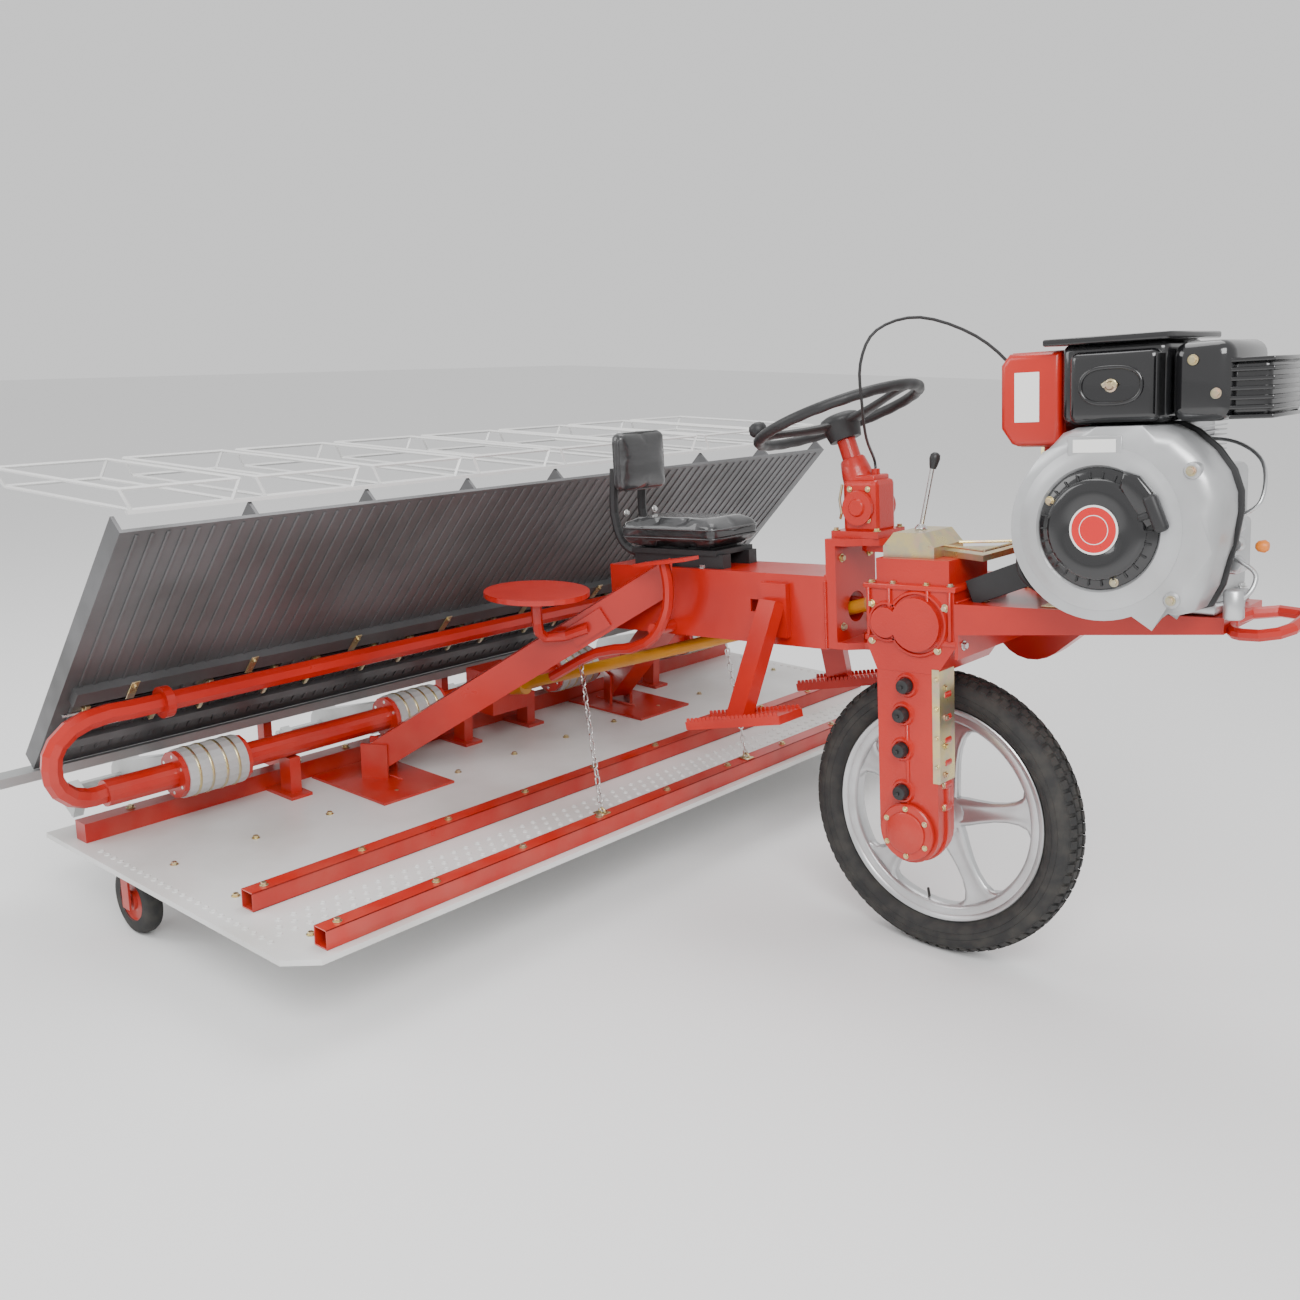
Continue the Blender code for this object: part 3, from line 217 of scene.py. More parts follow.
paint(red_enamel, "base_beam", "cross_tube", "engine_platform", "left_base_plate", "right_base_plate",
      "left_footrest", "right_footrest", "left_helper_seat", "right_helper_seat", "left_leg", "right_leg",
      "left_wheel_fork", "right_wheel_fork", "lift_lever", "main_beam", "pivot_yoke", "steering_bracket",
      "tray_support_tube", "belt_guard")
paint(cast_red, "leg_case", "gearbox", "steering_box", "drive_box")


# ---- Front wheel ----------------------------------------------------------------------------------------
# A narrow motorcycle tyre with block tread on a cast aluminium wheel with five broad spokes. The hub turns on
# the axle that stands out of the drive leg.

def piece(name, shape, surface, body, slot, *replaced, angle=35):
    """A finished object at the origin, made from a bmesh in the machine's frame."""
    bmesh.ops.recalc_face_normals(shape, faces=shape.faces)
    return placed(name, mesh_of(name, shape), surface, body, slot, *replaced, angle=angle)


def placed(name, data, surface, body, slot, *replaced, angle=35):
    data.shade_smooth()
    data.set_sharp_from_angle(angle=radians(angle))
    if surface:
        data.materials.clear()
        data.materials.append(surface)
    made = bpy.data.objects.new(name.replace(" ", "_"), data)
    bpy.context.scene.collection.objects.link(made)
    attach(made, body)
    if replaced:
        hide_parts(*replaced)
    return made


def at(x, y, z, base=TILTED, pitch=0.0, roll=0.0, heading=0.0):
    """A place in the tilted frame or, with base=LEVEL, in the level one; angles in degrees."""
    return (base @ Matrix.Translation((x, y, z)) @ Matrix.Rotation(radians(heading), 4, "Z")
            @ Matrix.Rotation(radians(pitch), 4, "Y") @ Matrix.Rotation(radians(roll), 4, "X"))


def lathe(shape, place, profile, steps=48):
    """A closed profile of (radius, height) turned about the place's Z axis."""
    rings = []
    for k in range(steps):
        angle = 2 * pi * k / steps
        rings.append([shape.verts.new(place @ Vector((r * cos(angle), r * sin(angle),
            h))) if r > 1e-6 else None for r, h in profile])
    poles = {i: shape.verts.new(place @ Vector((0, 0, h))) for i, (r, h) in enumerate(profile) if r <= 1e-6}
    for k in range(steps):
        here, there = rings[k], rings[(k + 1) % steps]
        for i in range(len(profile)):
            j = (i + 1) % len(profile)
            corners = [here[i] or poles[i], here[j] or poles[j], there[j] or poles[j], there[i] or poles[i]]
            unique = []
            for corner in corners:
                if corner not in unique:
                    unique.append(corner)
            if len(unique) > 2:
                shape.faces.new(unique)


def drum(shape, place, radius, length, steps=28, edge=0.0012):
    """A round bar along the place's Z axis with softened rims, centred on the place."""
    h = length / 2
    lathe(shape, place, [(0, h), (radius - edge, h), (radius, h - edge), (radius, edge - h),
                         (radius - edge, -h), (0, -h)], steps)


def block(shape, place, size, edge=0.002, segments=1):
    """A box with rounded edges, centred on the place."""
    made = bmesh.new()
    bmesh.ops.create_cube(made, size=1)
    bmesh.ops.scale(made, vec=size, verts=made.verts)
    if edge:
        bmesh.ops.bevel(made, geom=made.edges, offset=edge, segments=segments, profile=0.5, affect="EDGES")
    add(shape, made, place)


def slab(shape, place, outline, thickness, edge=0.002, segments=2):
    """A flat outline in the place's XY plane, thickened both ways, with rounded edges."""
    made = bmesh.new()
    low = [made.verts.new((x, y, -thickness / 2)) for x, y in outline]
    high = [made.verts.new((x, y, thickness / 2)) for x, y in outline]
    made.faces.new(low[::-1])
    made.faces.new(high)
    for k in range(len(outline)):
        j = (k + 1) % len(outline)
        made.faces.new((low[k], low[j], high[j], high[k]))
    if edge:
        rims = [e for e in made.edges if abs(e.verts[0].co.z - e.verts[1].co.z) < 1e-6]
        bmesh.ops.bevel(made, geom=rims, offset=edge, segments=segments, profile=0.5, affect="EDGES")
    add(shape, made, place)


def add(shape, made, place):
    bmesh.ops.transform(made, matrix=place, verts=made.verts)
    copied = {v: shape.verts.new(v.co) for v in made.verts}
    for face in made.faces:
        shape.faces.new([copied[v] for v in face.verts])
    made.free()


def smooth_path(places, steps=6):
    """Points along a smooth curve through the given ones."""
    places = [Vector(p) for p in places]
    places = [2 * places[0] - places[1]] + places + [2 * places[-1] - places[-2]]
    found = []
    for before, first, second, after in zip(places, places[1:], places[2:], places[3:]):
        for k in range(steps):
            t = k / steps
            found.append(0.5 * (2 * first + (second - before) * t + (2 * before - 5 * first
                + 4 * second - after) * t ** 2 + (3 * first - before - 3 * second + after) * t ** 3))
    return found + [places[-2]]


def rod(shape, points, radius, sides=10, base=TILTED, closed=False):
    """A round wire or tube along the points, with flat ends."""
    points = [base @ Vector(p) for p in points]
    count = len(points)
    rings = []
    normal = None
    for k, point in enumerate(points):
        if closed:
            along = (points[(k + 1) % count] - points[k - 1]).normalized()
        else:
            along = (points[min(k + 1, count - 1)] - points[max(k - 1, 0)]).normalized()
        if normal is None:
            normal = along.orthogonal().normalized()
        normal = (normal - along * normal.dot(along)).normalized()
        side = along.cross(normal)
        rings.append([shape.verts.new(point + radius * (cos(2 * pi * i / sides) * normal
            + sin(2 * pi * i / sides) * side)) for i in range(sides)])
    for k in range(count if closed else count - 1):
        here, there = rings[k], rings[(k + 1) % count]
        shift = 0
        if closed and k == count - 1:
            shift = min(range(sides), key=lambda s: (here[0].co - there[s].co).length)
        for i in range(sides):
            shape.faces.new((here[i], here[(i + 1) % sides], there[(i + 1 + shift) % sides],
                             there[(i + shift) % sides]))
    if not closed:
        shape.faces.new(rings[0][::-1])
        shape.faces.new(rings[-1])


def bolt(shape, place, radius=0.006, height=0.005):
    """A hexagon head on a washer, its face along the place's +Z."""
    drum(shape, place @ Matrix.Translation((0, 0, 0.0008)), radius * 1.45, 0.0016, 14, 0.0004)
    slab(shape, place @ Matrix.Translation((0, 0, 0.0016 + height / 2)),
         [(radius * cos(pi * k / 3), radius * sin(pi * k / 3)) for k in range(6)], height, 0.0005, 1)


TYRE_RADIUS = 0.31
RIM_RADIUS = 0.239
TREAD_PITCHES = 76
TREAD_HEIGHT = 0.0045
TREAD_STAGGER = 0.12    # the two sides are this much of a pitch apart, each way

rubber = Finish("tyre rubber", (0.030, 0.029, 0.028), 0.78, Specular_IOR_Level=0.35)
scuff = rubber.noise(30, 5)
rubber.feed("Base Color", rubber.mixed(rubber.step(scuff, 0.4, 0.8), (0.026, 0.026, 0.026),
    (0.060, 0.056, 0.050)))
rubber.feed("Roughness", scuff * 0.25 + 0.62)
rubber.bump(rubber.noise(400, 2), 0.2, 0.0006)

across_wheel = at(0, 0, 0, roll=90)
carcass = bmesh.new()
crown = TYRE_RADIUS - TREAD_HEIGHT
half_profile = [(0.2275, 0.0195), (0.241, 0.0215), (0.247, 0.0315), (0.256, 0.0385), (0.268, 0.0415),
                (0.280, 0.0405), (0.290, 0.0365), (0.297, 0.0300), (0.301, 0.0200), (crown, 0.0080)]
profile = half_profile + [(r, -h) for r, h in reversed(half_profile)]
lathe(carcass, across_wheel, profile, 96)
for side in (-1, 1):
    for radius, height in ((0.262, 0.0405), (0.275, 0.0412)):
        lathe(carcass, across_wheel, [(radius - 0.0012, side * (height - 0.001)),
            (radius, side * (height + 0.0006)), (radius + 0.0012, side * (height - 0.001))], 96)
piece("tyre carcass", carcass, rubber.material, "front_wheel", "tyre_rubber", "front_tyre")


def node_tree(name, inputs):
    """An empty Geometry Nodes tree, its named inputs, and functions that add nodes to it and end it."""
    tree = bpy.data.node_groups.new(name, "GeometryNodeTree")
    tree.interface.new_socket("Geometry", in_out="OUTPUT", socket_type="NodeSocketGeometry")
    for label, kind in inputs:
        tree.interface.new_socket(label, in_out="INPUT", socket_type="NodeSocket" + kind)
    given = tree.nodes.new("NodeGroupInput").outputs

    def build(kind, sockets=None, **settings):
        """The first output of a new node."""
        made = tree.nodes.new(kind)
        for key, value in settings.items():
            setattr(made, key, value)
        for key, value in (sockets or {}).items():
            if isinstance(value, bpy.types.NodeSocket):
                tree.links.new(value, made.inputs[key])
            else:
                made.inputs[key].default_value = value
        return made.outputs["Geometry" if kind == "GeometryNodeObjectInfo" else 0]

    def end(copies):
        """Makes the copies real, gives them their material, and ends the tree."""
        solid = build("GeometryNodeRealizeInstances", {0: copies})
        painted = build("GeometryNodeSetMaterial", {"Geometry": solid, "Material": given["Finish"]})
        tree.links.new(painted, tree.nodes.new("NodeGroupOutput").inputs[0])

    return tree, given, build, end


def evaluated(holder):
    """The mesh that an object's modifiers give it now."""
    bpy.context.view_layer.update()
    graph = bpy.context.evaluated_depsgraph_get()
    return bpy.data.meshes.new_from_object(holder.evaluated_get(graph), depsgraph=graph)


def grown(name, tree, values):
    """The plain mesh that a Geometry Nodes tree makes with these values."""
    holder = bpy.data.objects.new(name, bpy.data.meshes.new(name))
    bpy.context.scene.collection.objects.link(holder)
    modifier = holder.modifiers.new("grown", "NODES")
    modifier.node_group = tree
    for item in tree.interface.items_tree:
        if item.in_out == "INPUT" and item.name in values:
            modifier[item.identifier] = values[item.name]
    result = evaluated(holder)
    bpy.data.objects.remove(holder)
    return result


def pattern(name, shape):
    """One unit of a repeated shape, kept out of the scene."""
    bmesh.ops.recalc_face_normals(shape, faces=shape.faces)
    return bpy.data.objects.new(name, mesh_of(name, shape))


ring_tree, given, build, end = node_tree("ring of like pieces", (("Unit", "Object"), ("Count", "Int"),
    ("Finish", "Material")))
unit = build("GeometryNodeObjectInfo", {"Object": given["Unit"]})
dots = build("GeometryNodePoints", {"Count": given["Count"], "Position": (0, 0, 0)})
share = build("ShaderNodeMath", {0: build("GeometryNodeInputIndex"), 1: given["Count"]}, operation="DIVIDE")
angle = build("ShaderNodeMath", {0: share, 1: 2 * pi}, operation="MULTIPLY")
spin = build("ShaderNodeCombineXYZ", {"Z": angle})
end(build("GeometryNodeInstanceOnPoints", {"Points": dots, "Instance": unit, "Rotation": spin}))


def ring_of(name, shape, count, surface, place):
    data = grown(name, ring_tree, {"Unit": pattern(name + " unit", shape), "Count": count, "Finish": surface})
    data.transform(place)
    return data


# Shoulder and middle blocks: start and width in pitches, inner and outer edge, top, and the fall across it.
TREAD_BLOCKS = ((0.0, 0.68, 0.019, 0.0310, 0.3065, 0.0075), (0.35, 0.66, 0.0040, 0.0170, TYRE_RADIUS, 0.0015))
tread = bmesh.new()
pitch = 360 / TREAD_PITCHES
for side in (-1, 1):
    for start, wide, inner, outer, top, fall in TREAD_BLOCKS:
        corners = []
        for y, r_top, r_low in ((inner, top, 0.298), (outer, top - fall, 0.288)):
            for turn_at in (start, start + wide):
                a = radians(pitch * (turn_at + side * TREAD_STAGGER))
                corners.append([(r * cos(a), r * sin(a), side * y) for r in (r_low, r_top)])
        a, b, c, d = ([tread.verts.new(p) for p in pair] for pair in corners)
        for face in ((a[0], b[0], d[0], c[0]), (a[1], c[1], d[1], b[1]), (a[0], a[1], b[1], b[0]),
                     (c[0], d[0], d[1], c[1]), (a[0], c[0], c[1], a[1]), (b[0], b[1], d[1], d[0])):
            tread.faces.new(face)
placed("tyre tread", ring_of("tyre tread", tread, TREAD_PITCHES, rubber.material, across_wheel), None,
       "front_wheel", "tyre_rubber", angle=20)

cast_silver = Finish("satin aluminium casting", (0.60, 0.61, 0.62), 0.34, Metallic=0.85)
cast_silver.feed("Roughness", cast_silver.noise(18, 3) * 0.22 + 0.22)
cast_silver.feed("Base Color", cast_silver.mixed(cast_silver.step(cast_silver.noise(9, 4), 0.35, 0.8),
    (0.62, 0.63, 0.64), (0.46, 0.46, 0.46)))
cast_silver.bump(cast_silver.noise(220, 4), 0.12, 0.0006)

rim = bmesh.new()
hoop = [(0.208, 0.0175), (0.2135, 0.0205), (0.2265, 0.0205), (0.2290, 0.0235), (0.2370, 0.0260),
        (RIM_RADIUS, 0.0245), (0.2385, 0.0215), (0.2340, 0.0195), (0.2262, 0.0185)]
lathe(rim, across_wheel, hoop + [(r, -h) for r, h in reversed(hoop)] + [(0.2045, -0.006), (0.2045, 0.006)],
      96)
lathe(rim, across_wheel, [(0.0215, 0.033), (0.034, 0.033), (0.0365, 0.030), (0.0365, 0.016), (0.052, 0.011),
                          (0.052, -0.011), (0.0365, -0.016), (0.0365, -0.030), (0.034, -0.033),
                          (0.0215, -0.033)], 48)


def loft(shape, loops):
    """A skin through loops of as many points each, closed at both ends."""
    for here, there in zip(loops, loops[1:]):
        for i in range(len(here)):
            j = (i + 1) % len(here)
            shape.faces.new((here[i], here[j], there[j], there[i]))
    shape.faces.new(loops[0][::-1])
    shape.faces.new(loops[-1])


SPOKE_SHAPE = ((0.030, 0.034, 0.013), (0.060, 0.031, 0.0125), (0.090, 0.0255, 0.0115),
               (0.120, 0.0215, 0.0108), (0.150, 0.0215, 0.0105), (0.175, 0.0265, 0.0108),
               (0.192, 0.0360, 0.0115), (0.202, 0.0500, 0.0125), (0.2085, 0.0680, 0.0135))
ROUNDED_FROM = 0.2      # past this radius a spoke's end follows the rim
SPOKE_SECTION = ((-1, 0), (-0.94, 0.62), (-0.78, 0.92), (-0.62, 1), (-0.42, 0.80), (0, 0.66), (0.42, 0.80),
                 (0.62, 1), (0.78, 0.92), (0.94, 0.62))
SPOKES, FIRST_SPOKE = 5, 8
for k in range(SPOKES):
    turned = across_wheel @ Matrix.Rotation(radians(360 / SPOKES * k + FIRST_SPOKE), 4, "Z")
    loops = []
    for reach, wide, thick in SPOKE_SHAPE:
        outline = [(u * wide, v * thick) for u, v in SPOKE_SECTION]
        outline += [(t, -v) for t, v in reversed(outline[1:])]
        reaches = [reach if reach < ROUNDED_FROM else 2 * reach - hypot(reach, t) for t, v in outline]
        loops.append([rim.verts.new(turned @ Vector((x, t, v))) for x, (t, v) in zip(reaches, outline)])
    loft(rim, loops)
piece("cast wheel", rim, cast_silver.material, "front_wheel", "silver_casting", "front_rim", angle=45)
valve = bmesh.new()
rod(valve, [(0.205 * cos(radians(100)), 0.0, -0.205 * sin(radians(100))),
            (0.182 * cos(radians(100)), -0.012, -0.182 * sin(radians(100)))], 0.003)
piece("tyre valve", valve, rubber.material, "front_wheel", "tyre_rubber")


# ---- Drive leg and gearbox ------------------------------------------------------------------------------
# Sand-cast housings with a bolted parting flange. The leg holds a chain down to the axle, with black rubber
# plugs over its adjusters, and a zinc plated guard on its front edge. The shift cover and its lever plate are
# zinc plated too.

CASE_FACE = -0.152
LEG_MIDDLE = 0.005

zinc = Finish("yellow zinc plate", (0.62, 0.52, 0.26), 0.30, Metallic=0.9)
bloom = zinc.noise(26, 4)
zinc.feed("Base Color", zinc.mixed(zinc.step(bloom, 0.40, 0.62), (0.66, 0.55, 0.27),
    zinc.mixed(zinc.step(zinc.noise(60, 2), 0.45, 0.6), (0.50, 0.46, 0.33), (0.60, 0.44, 0.33))))
zinc.feed("Roughness", bloom * 0.3 + 0.16)
zinc.bump(zinc.noise(180, 2), 0.08, 0.0005)

bright = Finish("bright steel", (0.66, 0.66, 0.65), 0.24, Metallic=1.0)
bright.feed("Roughness", bright.noise(70, 4) * 0.3 + 0.12)
bright.bump(bright.noise(240, 2), 0.1, 0.0004)

matt_black = Finish("black moulded plastic", (0.018, 0.018, 0.019), 0.48)
matt_black.feed("Roughness", matt_black.noise(60, 4) * 0.24 + 0.34)
matt_black.bump(matt_black.noise(500, 2), 0.22, 0.0004)

gloss_black = Finish("black gloss enamel", (0.010, 0.010, 0.011), 0.14, Coat_Weight=0.6, Coat_Roughness=0.05)
gloss_black.feed("Roughness", gloss_black.noise(9, 4) * 0.14 + 0.08)
gloss_black.bump(gloss_black.noise(60, 2), 0.06, 0.0006)

side_out = Matrix.Rotation(radians(90), 4, "X")      # turns a place's +Z to the machine's right


def facing_right(x, y, z):
    return TILTED @ Matrix.Translation((x, y, z)) @ side_out


trim = bmesh.new()
outline = [(LEG_MIDDLE + 0.0725 * cos(radians(a)), 0.0725 * sin(radians(a))) for a in range(180, 361, 9)]
outline += [(LEG_MIDDLE + 0.0725, 0.300), (LEG_MIDDLE + 0.066, 0.334), (LEG_MIDDLE - 0.066, 0.334),
            (LEG_MIDDLE - 0.0725, 0.300)]
slab(trim, facing_right(0, -0.118, 0), outline, 0.012, 0.003)
lathe(trim, facing_right(LEG_MIDDLE, CASE_FACE - 0.0138, 0), [(0, 0.0065), (0.040, 0.0065), (0.0435, 0.004),
    (0.0435, 0.0005), (0.0575, 0.0002), (0.0605, -0.003), (0.0605, -0.010), (0, -0.010)], 56)
for x, z, radius in ((-0.006, 0.084, 0.0235), (-0.006, 0.173, 0.0235), (-0.004, 0.247, 0.0235),
                     (0.006, 0.308, 0.0235), (-0.037, 0.435, 0.041), (0.032, 0.435, 0.066)):
    lathe(trim, facing_right(x, CASE_FACE, z), [(0, 0.002), (radius - 0.007, 0.002), (radius - 0.005, 0.0065),
        (radius - 0.001, 0.0065), (radius, 0.004), (radius + 0.004, -0.002), (0, -0.002)], 36)
for k in range(6):
    z = 0.055 + 0.047 * k
    for x in (LEG_MIDDLE - 0.066, LEG_MIDDLE + 0.066):
        drum(trim, facing_right(x, -0.118, z), 0.0095, 0.026, 16, 0.002)
block(trim, at(LEG_MIDDLE, CASE_FACE - 0.001, 0.135), (0.007, 0.006, 0.20), 0.002)
block(trim, at(0.0135, -0.041, 0.400), (0.206, 0.228, 0.012), 0.003, 2)
block(trim, at(0.0135, -0.041, 0.507), (0.208, 0.232, 0.011), 0.003, 2)
for x in (-0.078, -0.030, 0.056, 0.104):
    block(trim, at(x, CASE_FACE - 0.002, 0.455), (0.007, 0.010, 0.10), 0.002)
piece("leg and gearbox ribs", trim, cast_red, "power_unit", "red_paint", angle=40)

heads = bmesh.new()
for k in range(6):
    for x in (LEG_MIDDLE - 0.066, LEG_MIDDLE + 0.066):
        bolt(heads, facing_right(x, -0.131, 0.055 + 0.047 * k), 0.0055, 0.004)
for k in range(6):
    a = radians(60 * k + 30)
    bolt(heads, facing_right(LEG_MIDDLE + 0.0505 * cos(a), CASE_FACE - 0.0140, 0.0505 * sin(a)), 0.0042,
         0.003)
for x in (-0.075, -0.025, 0.050, 0.102):
    for y in (-0.147, 0.062):
        bolt(heads, at(x, y, 0.5125), 0.0055, 0.004)
for x, z in ((-0.073, 0.470), (-0.073, 0.395), (0.092, 0.47), (0.075, 0.385)):
    bolt(heads, facing_right(x, CASE_FACE, z), 0.006, 0.005)
piece("case bolts", heads, zinc.material, "power_unit", "zinc_plate", angle=30)

plugs = bmesh.new()
for x, z in ((-0.006, 0.084), (-0.006, 0.173), (-0.004, 0.247), (0.006, 0.308)):
    lathe(plugs, facing_right(x, CASE_FACE - 0.0203, z), [(0, 0.0035), (0.010, 0.0035), (0.0135, 0.002),
        (0.0152, -0.002), (0.0152, -0.016), (0, -0.016)], 28)
    bmesh.ops.create_cube(plugs, size=0.006, matrix=TILTED @ Matrix.Translation((x, CASE_FACE - 0.0245, z)))
piece("rubber plugs", plugs, matt_black.material, "power_unit", "black_plastic", angle=40)

guard = bmesh.new()
block(guard, at(0.0765, -0.121, 0.228), (0.003, 0.062, 0.236), 0.001)
block(guard, at(0.0700, -0.1525, 0.228), (0.016, 0.002, 0.236), 0.0008)
for z in (0.125, 0.185, 0.245, 0.305):
    bolt(guard, at(0.0780, -0.128, z, pitch=90), 0.005, 0.004)
    bolt(guard, facing_right(0.071, -0.1537, z + 0.02), 0.0042, 0.003)
piece("leg guard", guard, zinc.material, "power_unit", "zinc_plate", angle=30)

paint(zinc.material, "shift_cover")
paint(bright.material, "front_axle")
fan = bmesh.new()
for side in (-1, 1):
    rod(fan, [(0.046, -0.05 + side * 0.026, 0.583), (0.165, -0.05 + side * 0.083, 0.583)], 0.003, 8)
rod(fan, [(0.165, -0.133, 0.583), (0.165, 0.033, 0.583)], 0.003, 8)
for x, y in ((-0.052, -0.12), (0.046, -0.12), (-0.052, -0.012)):
    bolt(fan, at(x, y, 0.5855), 0.0045, 0.0035)
piece("shift plate edge", fan, zinc.material, "power_unit", "zinc_plate")

lever = bmesh.new()
rod(lever, [(-0.010, -0.06, 0.6135), (0.0185, -0.06, 0.738)], 0.0045, 16)
lathe(lever, at(-0.010, -0.06, 0.6135), [(0, 0.010), (0.006, 0.009), (0.011, 0.004), (0.013, 0), (0, 0)], 24)
piece("gear lever rod", lever, bright.material, "power_unit", "chain_steel", "gear_lever")
knob = bmesh.new()
lathe(knob, at(0.0185, -0.06, 0.734, pitch=13), [(0, 0.033), (0.005, 0.032), (0.0095, 0.028), (0.0108, 0.020),
    (0.0085, 0.008), (0.0065, 0.0), (0, 0.0)], 28)
piece("gear knob", knob, matt_black.material, "power_unit", "black_plastic", angle=60)


# ---- Steering gear --------------------------------------------------------------------------------------
# A C-shaped welded bracket on the end of the beam holds the leg between two kingpins. The cast steering box
# stands on it, with a thin column up to a black moulded wheel that has finger grips and a spinner knob.

BRACKET_LOW, BRACKET_HIGH = 0.350, 0.588
fixings = bmesh.new()
for z in (0.395, 0.545):
    for y in (-0.055, 0.055):
        bolt(fixings, at(-0.2050, y, z, pitch=90), 0.0065, 0.006)
for x, y in ((-0.222, -0.046), (-0.222, 0.046), (-0.122, -0.046), (-0.122, 0.046)):
    bolt(fixings, at(x, y, BRACKET_HIGH + 0.0145), 0.006, 0.005)
bolt(fixings, at(-0.15, 0, BRACKET_LOW - 0.0002, roll=180), 0.011, 0.008)
for x, z in ((-0.190, 0.690), (-0.146, 0.690), (-0.190, 0.625), (-0.146, 0.625)):
    bolt(fixings, facing_right(x, -0.0402, z), 0.0045, 0.0035)
rod(fixings, [(-0.215, -0.040, 0.628), (-0.205, -0.050, 0.640), (-0.212, -0.046, 0.668),
              (-0.206, -0.044, 0.700)], 0.003, 8)
piece("steering bolts", fixings, zinc.material, "frame", "zinc_plate", angle=30)
cover = bmesh.new()
slab(cover, facing_right(-0.168, -0.0435, 0.652), [(0.036 * cos(radians(a)), 0.036 * sin(radians(a)))
    for a in range(0, 360, 12)], 0.007, 0.002)
lathe(cover, facing_right(-0.168, -0.0505, 0.652), [(0, 0.004), (0.016, 0.004), (0.019, 0.001),
    (0.021, -0.004), (0, -0.004)], 36)
block(cover, at(-0.168, 0, 0.7115), (0.066, 0.062, 0.014), 0.005, 3)
lathe(cover, at(-0.1975, 0, 0.724, pitch=-19.5), [(0, 0.030), (0.024, 0.030), (0.027, 0.026), (0.032, 0.0),
    (0.034, -0.022), (0, -0.022)], 40)
piece("steering box covers", cover, cast_red, "frame", "red_paint", angle=40)
blank = Finish("blank white plate", (0.80, 0.80, 0.78), 0.35)
blank.feed("Roughness", blank.noise(40, 3) * 0.2 + 0.25)
plate_piece = bmesh.new()
block(plate_piece, at(-0.2112, -0.012, 0.690, pitch=90), (0.034, 0.026, 0.0008), 0.0003)
piece("blank steering plate", plate_piece, blank.material, "frame", "white_wire")

wheel_axis = Vector(joints["hand_wheel_turn"]["axis"])
WHEEL = Matrix.Translation(joints["hand_wheel_turn"]["pos_m"]) @ Matrix.Rotation(-atan2(-wheel_axis.x,
    wheel_axis.z), 4, "Y")
GRIP_RADIUS = 0.178
GRIP_STEPS, GRIP_SIDES = 144, 12
GRIP_SECTION, GRIP_FLATNESS = 0.0127, 0.92
FINGERS, FINGER_DENT = 24, 0.0011


def grip_point(a, b):
    """A point of the rim, a round the wheel and b round its section, dented below for the fingers."""
    r = GRIP_SECTION - (FINGER_DENT * (1 + cos(FINGERS * a)) / 2 if sin(b) < 0.2 else 0)
    reach = GRIP_RADIUS + r * cos(b)
    return WHEEL @ Vector((reach * cos(a), reach * sin(a), r * GRIP_FLATNESS * sin(b)))


hand = bmesh.new()
rows = []
for k in range(GRIP_STEPS):
    rows.append([hand.verts.new(grip_point(2 * pi * k / GRIP_STEPS, 2 * pi * i / GRIP_SIDES))
                 for i in range(GRIP_SIDES)])
for k in range(GRIP_STEPS):
    here, there = rows[k], rows[(k + 1) % GRIP_STEPS]
    for i in range(GRIP_SIDES):
        j = (i + 1) % GRIP_SIDES
        hand.faces.new((here[i], there[i], there[j], here[j]))
ARM_SIDES = 14
ARM_SHAPE = ((0.030, 0.030, 0.010, -0.018), (0.055, 0.026, 0.009, -0.017), (0.085, 0.019, 0.008, -0.013),
             (0.120, 0.015, 0.0075, -0.008), (0.150, 0.017, 0.0075, -0.004), (0.172, 0.022, 0.008, -0.002))
for turn_at in (0, 125, 235):
    direction = Matrix.Rotation(radians(turn_at), 4, "Z")
    loops = []
    for reach, wide, thick, drop in ARM_SHAPE:
        places = [(reach, wide * cos(b), drop + thick * sin(b))
                  for b in (2 * pi * i / ARM_SIDES for i in range(ARM_SIDES))]
        loops.append([hand.verts.new(WHEEL @ direction @ Vector(place)) for place in places])
    loft(hand, loops)
lathe(hand, WHEEL, [(0, 0.003), (0.030, 0.002), (0.040, -0.002), (0.0455, -0.010), (0.0455, -0.018),
                    (0.040, -0.026), (0.036, -0.045), (0.034, -0.0533), (0, -0.0533)], 48)
piece("steering wheel", hand, matt_black.material, "hand_wheel_body", "black_plastic", "hand_wheel", angle=50)
spinner = bmesh.new()
turned = WHEEL @ Matrix.Rotation(radians(200), 4, "Z") @ Matrix.Translation((GRIP_RADIUS, 0, 0))
lathe(spinner, turned, [(0, 0.052), (0.010, 0.0515), (0.0175, 0.047), (0.0198, 0.040), (0.0198, 0.030),
                        (0.016, 0.024), (0.008, 0.021), (0.007, 0.010), (0, 0.010)], 36)
piece("spinner knob", spinner, matt_black.material, "hand_wheel_body", "black_plastic", angle=50)


# ---- Engine ---------------------------------------------------------------------------------------------
# A small air-cooled diesel. Its fan shroud is a silver painted pressing with a black hand starter, the tank
# is red sheet, and the air cleaner and silencer are glossy black. The silencer has a slotted guard.

